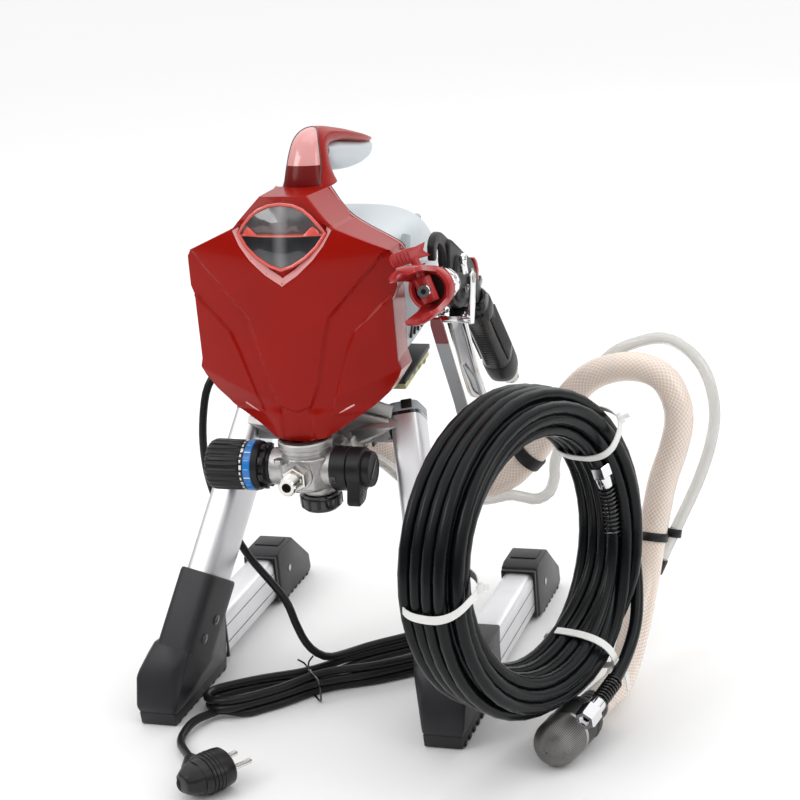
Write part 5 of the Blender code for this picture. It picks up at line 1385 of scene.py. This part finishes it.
def gun():
    body = Shape()
    outline = [(100, 377), (101, 386), (104, 390), (108, 392.4), (113.5, 393.6), (119, 393.5), (125, 391.4), (131, 388),
               (194, 350), (198, 345.5), (199.5, 340), (197.5, 333), (193, 327), (187, 322.6), (181, 320), (172, 319),
               (150, 321), (134, 330), (130, 337), (129.2, 345), (130.4, 352), (131.8, 362), (131, 369), (128, 374),
               (123.5, 380), (118, 384), (114.5, 384.6), (111, 383), (108.6, 379.6), (107, 375), (104, 373.8),
               (101, 374.6)]
    body.prism(outline, GUN_X - 3.0, GUN_X + 3.0, GUN_BLACK, 1.4, 3)
    body.prism([(131.8, 362), (133, 380), (140, 382.2), (194, 350), (198, 345.5), (199.5, 340), (197.5, 333),
                (193, 327), (187, 322.6), (181, 320), (172, 319), (150, 321), (134, 330), (129.2, 345)],
               GUN_X - 5.2, GUN_X + 5.2, GUN_BLACK, 1.8, 3)
    body.prism([(134, 340), (136, 352), (143, 362), (152, 366), (190, 345), (194, 339), (191, 331), (181, 324),
                (152, 326), (139, 332)], GUN_X - 8.0, GUN_X + 8.0, GUN_BLACK, 2.4, 3)
    body.rod(on_gun(57.5), on_gun(97), 10.8, GUN_BLACK, bevel=1.2)
    body.turned([(10.4, 57.4), (12.2, 57.4), (12.6, 58.4), (12.6, 61.4), (12.2, 62.4), (10.4, 62.4)], NOZZLE, GUN_AXIS,
                BLACK_GLOSS, 48)
    for way in SIDES:
        face = GUN_X + way * 8.0
        lean = Vector((0, 0.30, -0.95)).normalized()
        body.block(Vector((face + way * 0.7, 158.5, 347)), (X_WAY, X_WAY.cross(lean), lean), (1.1, 6.2, 13.5),
                   CHROME, 0.8)
        for y, z, size in ((154.5, 361, 5.3), (166, 337.5, 4.6)):
            body.turned([(0, 0), (size, 0), (size, 1.6), (size - 0.8, 2.4), (size * 0.55, 2.4), (size * 0.5, 1.5),
                         (0, 1.5)], (face + way * 0.6, y, z), (way, 0, 0), CHROME, 36)
        body.turned([(0, 0), (3.1, 0), (3.1, 1.2), (1.6, 1.4), (1.4, 0.5), (0, 0.5)], (face - way * 0.1, 178, 344),
                    (way, 0, 0), STEEL, 28)
        slope = (X_WAY, Vector((0, 0.86, -0.51)), Vector((0, 0.51, 0.86)))
        body.block(Vector((GUN_X + way * 5.2, 152, 373.4)), slope, (0.4, 13.0, 0.5), BLACK_GLOSS, 0.2)
    body.prism([(182, 330), (195, 340), (199, 330), (205, 322), (192, 312)], GUN_X - 8.0, GUN_X + 8.0, GUN_BLACK,
               2.0, 3)
    body.object("gun_frame", "gun", "gun_body", smooth=30.0)

    grip = Shape()
    up = GRIP_AXIS.cross(X_WAY)
    sections = [(1.0, 10.0, 9.4), (2.2, 11.4, 10.6), (9, 12.4, 12.4), (11, 11.9, 12.2), (12.6, 11.9, 12.6),
                (14, 12.8, 14.2), (26, 12.9, 14.5), (46, 12.5, 13.9), (70, 12.5, 13.9), (92, 12.9, 14.4),
                (96, 13.2, 14.8)]
    grip.loft([ring(GRIP_TOP + GRIP_AXIS * d, w, h, 2.6, 56, X_WAY, up) for d, w, h in sections], GUN_GLOSS)
    grip.loft([ring(GRIP_TOP + GRIP_AXIS * d, w, h, 2.6, 56, X_WAY, up)
               for d, w, h in ((96.2, 13.3, 14.9), (98, 13.8, 15.4), (112, 13.6, 15.2), (119, 12.9, 14.4),
                               (121.4, 11.0, 12.6), (122, 9.5, 11.0))], GUN_BLACK)
    ribs = [GRIP_TOP + GRIP_AXIS * (27 + 3.0 * k) for k in range(22)]
    for way in SIDES:
        for rib in ribs:
            grip.block(rib + X_WAY * way * 12.3, (GRIP_AXIS, X_WAY, up), (0.75, 0.75, 8.4), GRIP_RUBBER, 0.3)
    for rib in ribs:
        for way in (1, -1):
            grip.block(rib + up * way * 13.6, (GRIP_AXIS, X_WAY, up), (0.75, 6.6, 0.8), GRIP_RUBBER, 0.3)
    grip.object("gun_handle", "gun", "gun_grip", smooth=40.0)

    cap = Shape()
    cap.prism([(193.6, 351.4), (198, 346.5), (200.4, 340), (198.5, 332.5), (194, 327.4), (199.5, 326), (204.5, 330.5),
               (206.6, 338), (205.4, 343.5), (202, 348.4), (197.6, 351.4)], GUN_X - 6.2, GUN_X + 6.2, GUN_RED, 1.4, 3)
    cap.object("gun_cap", "gun", "gun_rear_cap", smooth=35.0)

    diffuser = Shape()
    diffuser.turned([(6, 38.8), (12.4, 38.8), (13.5, 40), (13.5, 42.5), (12.9, 43), (12.9, 44), (13.5, 44.6),
                     (13.5, 53.6), (12.9, 54.2), (12.9, 55.2), (13.4, 55.8), (12.8, 57.2), (6, 57.2)], NOZZLE,
                    GUN_AXIS, CHROME, 60)
    turn = frame_of(GUN_AXIS).to_3x3()
    for k in range(4):
        out = spun(turn, 1, TWO_PI * (k + 0.4) / 4)
        diffuser.block(on_gun(49.2) + out * 13.2, (out, out.cross(GUN_AXIS), GUN_AXIS), (0.6, 4.2, 3.4), CHROME, 0.3)
    diffuser.object("diffuser", "gun", "gun_diffuser", smooth=30.0)

    swivel = Shape()
    base = GRIP_TOP + GRIP_AXIS * 122
    way = Vector((0, 0.85, -0.53)).normalized()
    swivel.turned([(0, 0.5), (7.2, 0.5), (7.2, 3.4), (8.6, 3.6), (9.4, 4.4), (9.4, 13.2), (8.6, 14.0), (0, 14.0)],
                  base + way * 2.4, way, STEEL, 6)
    threads = [(0, 13.6), (6.6, 13.6)]
    for k in range(6):
        threads += [(6.9, 14.4 + 1.7 * k), (6.1, 15.2 + 1.7 * k)]
    threads += [(6.0, 25.2), (0, 25.2)]
    swivel.turned(threads, base + way * 2.4, way, CHROME_WARM, 40)
    swivel.object("swivel", "gun", "gun_swivel", smooth=30.0)

    strip = Shape()
    route = smooth_route([(GUN_X, y, z) for y, z in ((99, 328.3), (104.5, 318), (113, 302), (145, 245), (158, 218),
                                                      (172, 204), (196, 197), (262, 204.5), (268, 208))], 2.5)
    rings_ = []
    for k, point in enumerate(route):
        run = (route[min(k + 1, len(route) - 1)] - route[max(k - 1, 0)]).normalized()
        out = run.cross(X_WAY)
        wide = 5.5 if k > 3 else 5.5 - 0.5 * (3 - k)
        rings_.append([point + X_WAY * u + out * v for u, v in ((-wide, -0.8), (-wide, 0.8), (-wide + 0.6, 1.2),
                                                                 (wide - 0.6, 1.2), (wide, 0.8), (wide, -0.8),
                                                                 (wide - 0.6, -1.2), (-wide + 0.6, -1.2))])
    # The strip's upper end in dark red is painted reflection of the red tip guard; the rest is grey.
    strip.loft(rings_[:12], STRIP_PAINTED_REFLECTION)
    strip.loft(rings_[11:], STRIP_GREY)
    strip.rod((GUN_X, 262, 203.0), (GUN_X, 262, 207.6), 3.6, STEEL, sides=24)
    strip.object("guard_strip", "gun", "trigger_guard_strip", smooth=30.0)


def gun_trigger():
    shape = Shape()
    # the finger piece: centre y, z, half width, half thickness down its length
    spine = [(150, 318, 8.4, 8.4), (156, 306, 8.4, 8.0), (163, 292, 8.2, 7.0), (170, 277, 8.0, 6.2),
             (178, 261, 8.0, 5.6), (187, 246, 8.2, 5.4), (193, 237, 8.4, 6.0), (196.6, 231.4, 8.0, 5.6),
             (198, 229, 6.2, 3.6)]
    rings_ = []
    route = [Vector((GUN_X, y, z)) for y, z, w, h in spine]
    for k, (y, z, w, h) in enumerate(finer([tuple(map(float, r)) for r in spine], 3)):
        a = route[min(len(route) - 1, k // 3 + 1)] - route[max(0, k // 3 - 1)]
        out = a.normalized().cross(X_WAY)
        rings_.append(ring(Vector((GUN_X, y, z)), w, h * 0.62, 2.8, 40, X_WAY, out))
    shape.loft(rings_, POLISHED)
    for way in SIDES:
        shape.prism([(149, 322), (147, 309), (157, 306), (164, 320), (170, 338), (170.5, 345), (166, 349), (160.5, 347),
                     (156.5, 338)], GUN_X + way * 11.8, GUN_X + way * 13.8, POLISHED, 0.5)
        shape.turned([(0, -3.0), (2.9, -3.0), (2.9, 0), (4.2, 0), (4.2, 0.8), (2.4, 1.0), (2.2, 0.5), (0, 0.5)],
                     (GUN_X + way * 13.8, 165, 343), (way, 0, 0), STEEL, 28)
    shape.rod((GUN_X - 13.6, 151, 312.5), (GUN_X + 13.6, 151, 312.5), 4.0, POLISHED, sides=28)
    shape.object("trigger_lever", "trigger", "gun_trigger", smooth=45.0)
    lock = Shape()
    lock.prism([(206.4, 322.4), (208.5, 320.6), (212, 319.4), (216.5, 320.4), (220.4, 322.2), (222.2, 325),
                (220.4, 328.4), (216, 328.6), (213.6, 326.6), (208.4, 327.0)], GUN_X - 4, GUN_X + 4, BLACK_GLOSS,
               0.9, 3)
    for k in range(3):
        lock.box((GUN_X - 3.2, 216.0 + 1.9 * k, 328.2), (GUN_X + 3.2, 216.8 + 1.9 * k, 329.0), GUN_BLACK, 0.2)
    lock.object("lock_lever", "lock", "trigger_lock", smooth=32.0)


def gun_guard():
    shape = Shape()
    shape.turned([(12.2, 19.0), (14.4, 17.4), (16.8, 18.4), (18.0, 21.0), (18.0, 25.0), (17.2, 25.8), (17.2, 27.0),
                  (17.8, 27.8), (16.8, 33.0), (14.8, 36.4), (12.4, 36.4), (12.4, 30)], NOZZLE, GUN_AXIS, GUN_RED, 72)
    other = GUN_AXIS.cross(SPREAD)
    for way in SIDES:
        rows = []
        for d, reach, half, thick in ((25, 14.8, 12.0, 6.0), (16, 16.6, 11.6, 6.0), (5, 18.4, 11.4, 5.4),
                                      (-6, 19.6, 12.2, 5.0), (-15, 20.4, 13.2, 4.6), (-22, 20.8, 13.6, 4.2),
                                      (-27, 21.2, 12.0, 3.8), (-30, 20.8, 9.0, 3.2), (-31.5, 20.4, 5.0, 2.6)):
            row = []
            for face in (1, -1):
                for i in range(33):
                    t = face * (2 * i / 32 - 1)
                    wall = thick * 0.5 * (1 if face > 0 else 1 - 0.35 * abs(t))
                    row.append(on_gun(d) + SPREAD * way * (reach - 4.0 * t * t + face * wall) + other * half * t)
            rows.append(row)
        shape.loft(rows, GUN_RED)
        for k in (-1, 0, 1):
            shape.block(on_gun(2) + SPREAD * way * (20.9 - abs(k) * 1.2) + other * k * 6.0, (GUN_AXIS, SPREAD, other),
                        (12, 0.7, 0.8), GUN_RED, 0.4)
    shape.turned([(5.2, 21), (12.9, 21), (12.9, 25), (5.2, 25)], NOZZLE, GUN_AXIS, GUN_BLACK, 60)
    shape.turned([(0, 23), (6, 23), (6, 23.6), (0, 23.6)], NOZZLE, GUN_AXIS, BLACK_GLOSS, 32)
    shape.object("guard", "guard", "tip_guard", smooth=40.0)

    tip = Shape()
    centre = on_gun(12)
    tip.rod(centre + SPREAD * 10, centre - SPREAD * 11, 7.0, GUN_RED, bevel=1.0)
    tip.rod(centre - SPREAD * 8, centre - SPREAD * 27, 3.7, GUN_RED, bevel=0.6)
    tip.turned([(2.2, -1.6), (4.9, -1.6), (5.5, -0.8), (5.5, 3.4), (2.2, 3.4)], centre - GUN_AXIS * 7.0, GUN_AXIS,
               CHROME, 40)
    tip.turned([(0, -1.0), (2.3, -1.0), (2.3, 0.6), (0, 0.6)], centre - GUN_AXIS * 7.0, GUN_AXIS, BLACK_GLOSS, 24)
    way = Vector((0.62, 0.75, 0.22))
    way = (way - SPREAD * way.dot(SPREAD)).normalized()
    level = way.cross(SPREAD)
    root = centre - SPREAD * 30
    blade = [(-20, 4.0), (-18, 6.4), (-4, 7.0), (4, 5.6), (14, 6.6), (9.5, 0), (14, -6.6), (4, -5.6), (-4, -7.0),
             (-18, -6.4), (-20, -4.0)]
    tip.loft([[root + way * a + SPREAD * b * 0.86 + level * lift for a, b in blade] for lift in (-2.2, 2.2)], GUN_RED,
             bevel=0.9)
    for k in range(4):
        tip.block(root - way * (4.0 + 3.2 * k), (way, level, SPREAD), (0.6, 2.8, 3.9), GUN_RED, 0.3)
    tip.object("tip_flag", "tip", "spray_tip", smooth=32.0)


def holder():
    """A bent steel strip: wall plate, shelf, and the small cradle the gun hangs in."""
    shape = Shape()
    shape.box((76.3, 176, 322), (78.6, 192, 350), STRIP_GREY, 0.6)
    shape.box((77.0, 176, 322.2), (101, 192, 325.8), STRIP_GREY, 0.8)
    for left, right, low, high in ((99, 107.4, 322.2, 325.8), (104.6, 107.4, 314.6, 325.4),
                                   (104.6, 124.4, 314.6, 318.3), (122.1, 124.4, 314.6, 324.8)):
        shape.box((left, 176.6, low), (right, 180.4, high), STRIP_GREY, 0.8)
    for z in (331, 343):
        shape.turned([(0, 0), (3.0, 0), (3.0, 1.4), (1.8, 2.2), (1.6, 1.4), (0, 1.4)], (78.4, 184, z), (1, 0, 0),
                     STEEL, 6)
    shape.object("holder", "machine", "gun_holder", smooth=30.0)


def chassis_details():
    """Ribs, bosses and bolts on the casting that joins the pump to the two legs."""
    shape = Shape()
    for way in SIDES:
        shape.hull([(way * x, y, z) for x, z in ((16, 229.0), (16, 244), (60, 229.8), (60, 234)) for y in (121, 123.6)],
                   CAST, 0.8)
        shape.hull([(way * x, y, z) for x, z in ((18, 246), (22, 258), (64, 244), (60, 231)) for y in (124.5, 127.0)],
                   CAST, 0.8)
        for x in (30, 44, 58):
            shape.box((way * x - 1.2, 124.4, 214), (way * x + 1.2, 171, 215.4), CAST, 0.4)
        for y in (134, 160):
            shape.turned([(0, 0), (4.6, 0), (4.6, 3.0), (3.6, 3.8), (0, 3.8)], (way * 54, y, 229.4), Z_WAY, STEEL, 6)
            shape.turned([(0, 0), (4.0, 0), (4.0, 2.4), (3.0, 3.0), (0, 3.0)], (way * 38, y, 212.2), -Z_WAY, STEEL, 6)
    shape.turned([(8.6, 230.9), (9.9, 230.9), (9.9, 238.4), (8.6, 238.4)], (0, PUMP_Y, 0), (0, 0, 1), DARK_STEEL, 44)
    shape.object("chassis_ribs", "machine", smooth=30.0)


def build():
    set_camera()
    set_studio()
    hose, points, ends = pressure_hose()
    suction, path = suction_hose()
    top, screen = strainer()
    clear, path, tip = return_hose()
    cord, path, wire = mains_cord()
    plug = mains_plug()
    coil_ties()
    for side, label in ((-1, "left"), (1, "right")):
        boot(side, label)
        leg(side, label)
        floor_bar(side, label)
    front_cover()
    lens()
    handle()
    shroud()
    electrics()
    chassis_details()
    pump()
    pressure_parts()
    prime_parts()
    suction_parts()
    gun()
    gun_trigger()
    gun_guard()
    holder()
    for node, material in (("cast_chassis", CAST), ("cooling_fan", BLACK), ("crank_gear", DARK_STEEL),
                           ("motor_housing", STEEL), ("motor_shaft", STEEL), ("pump_rod_yoke", STEEL)):
        for slot in NODES[node].material_slots:
            slot.material = material


build()
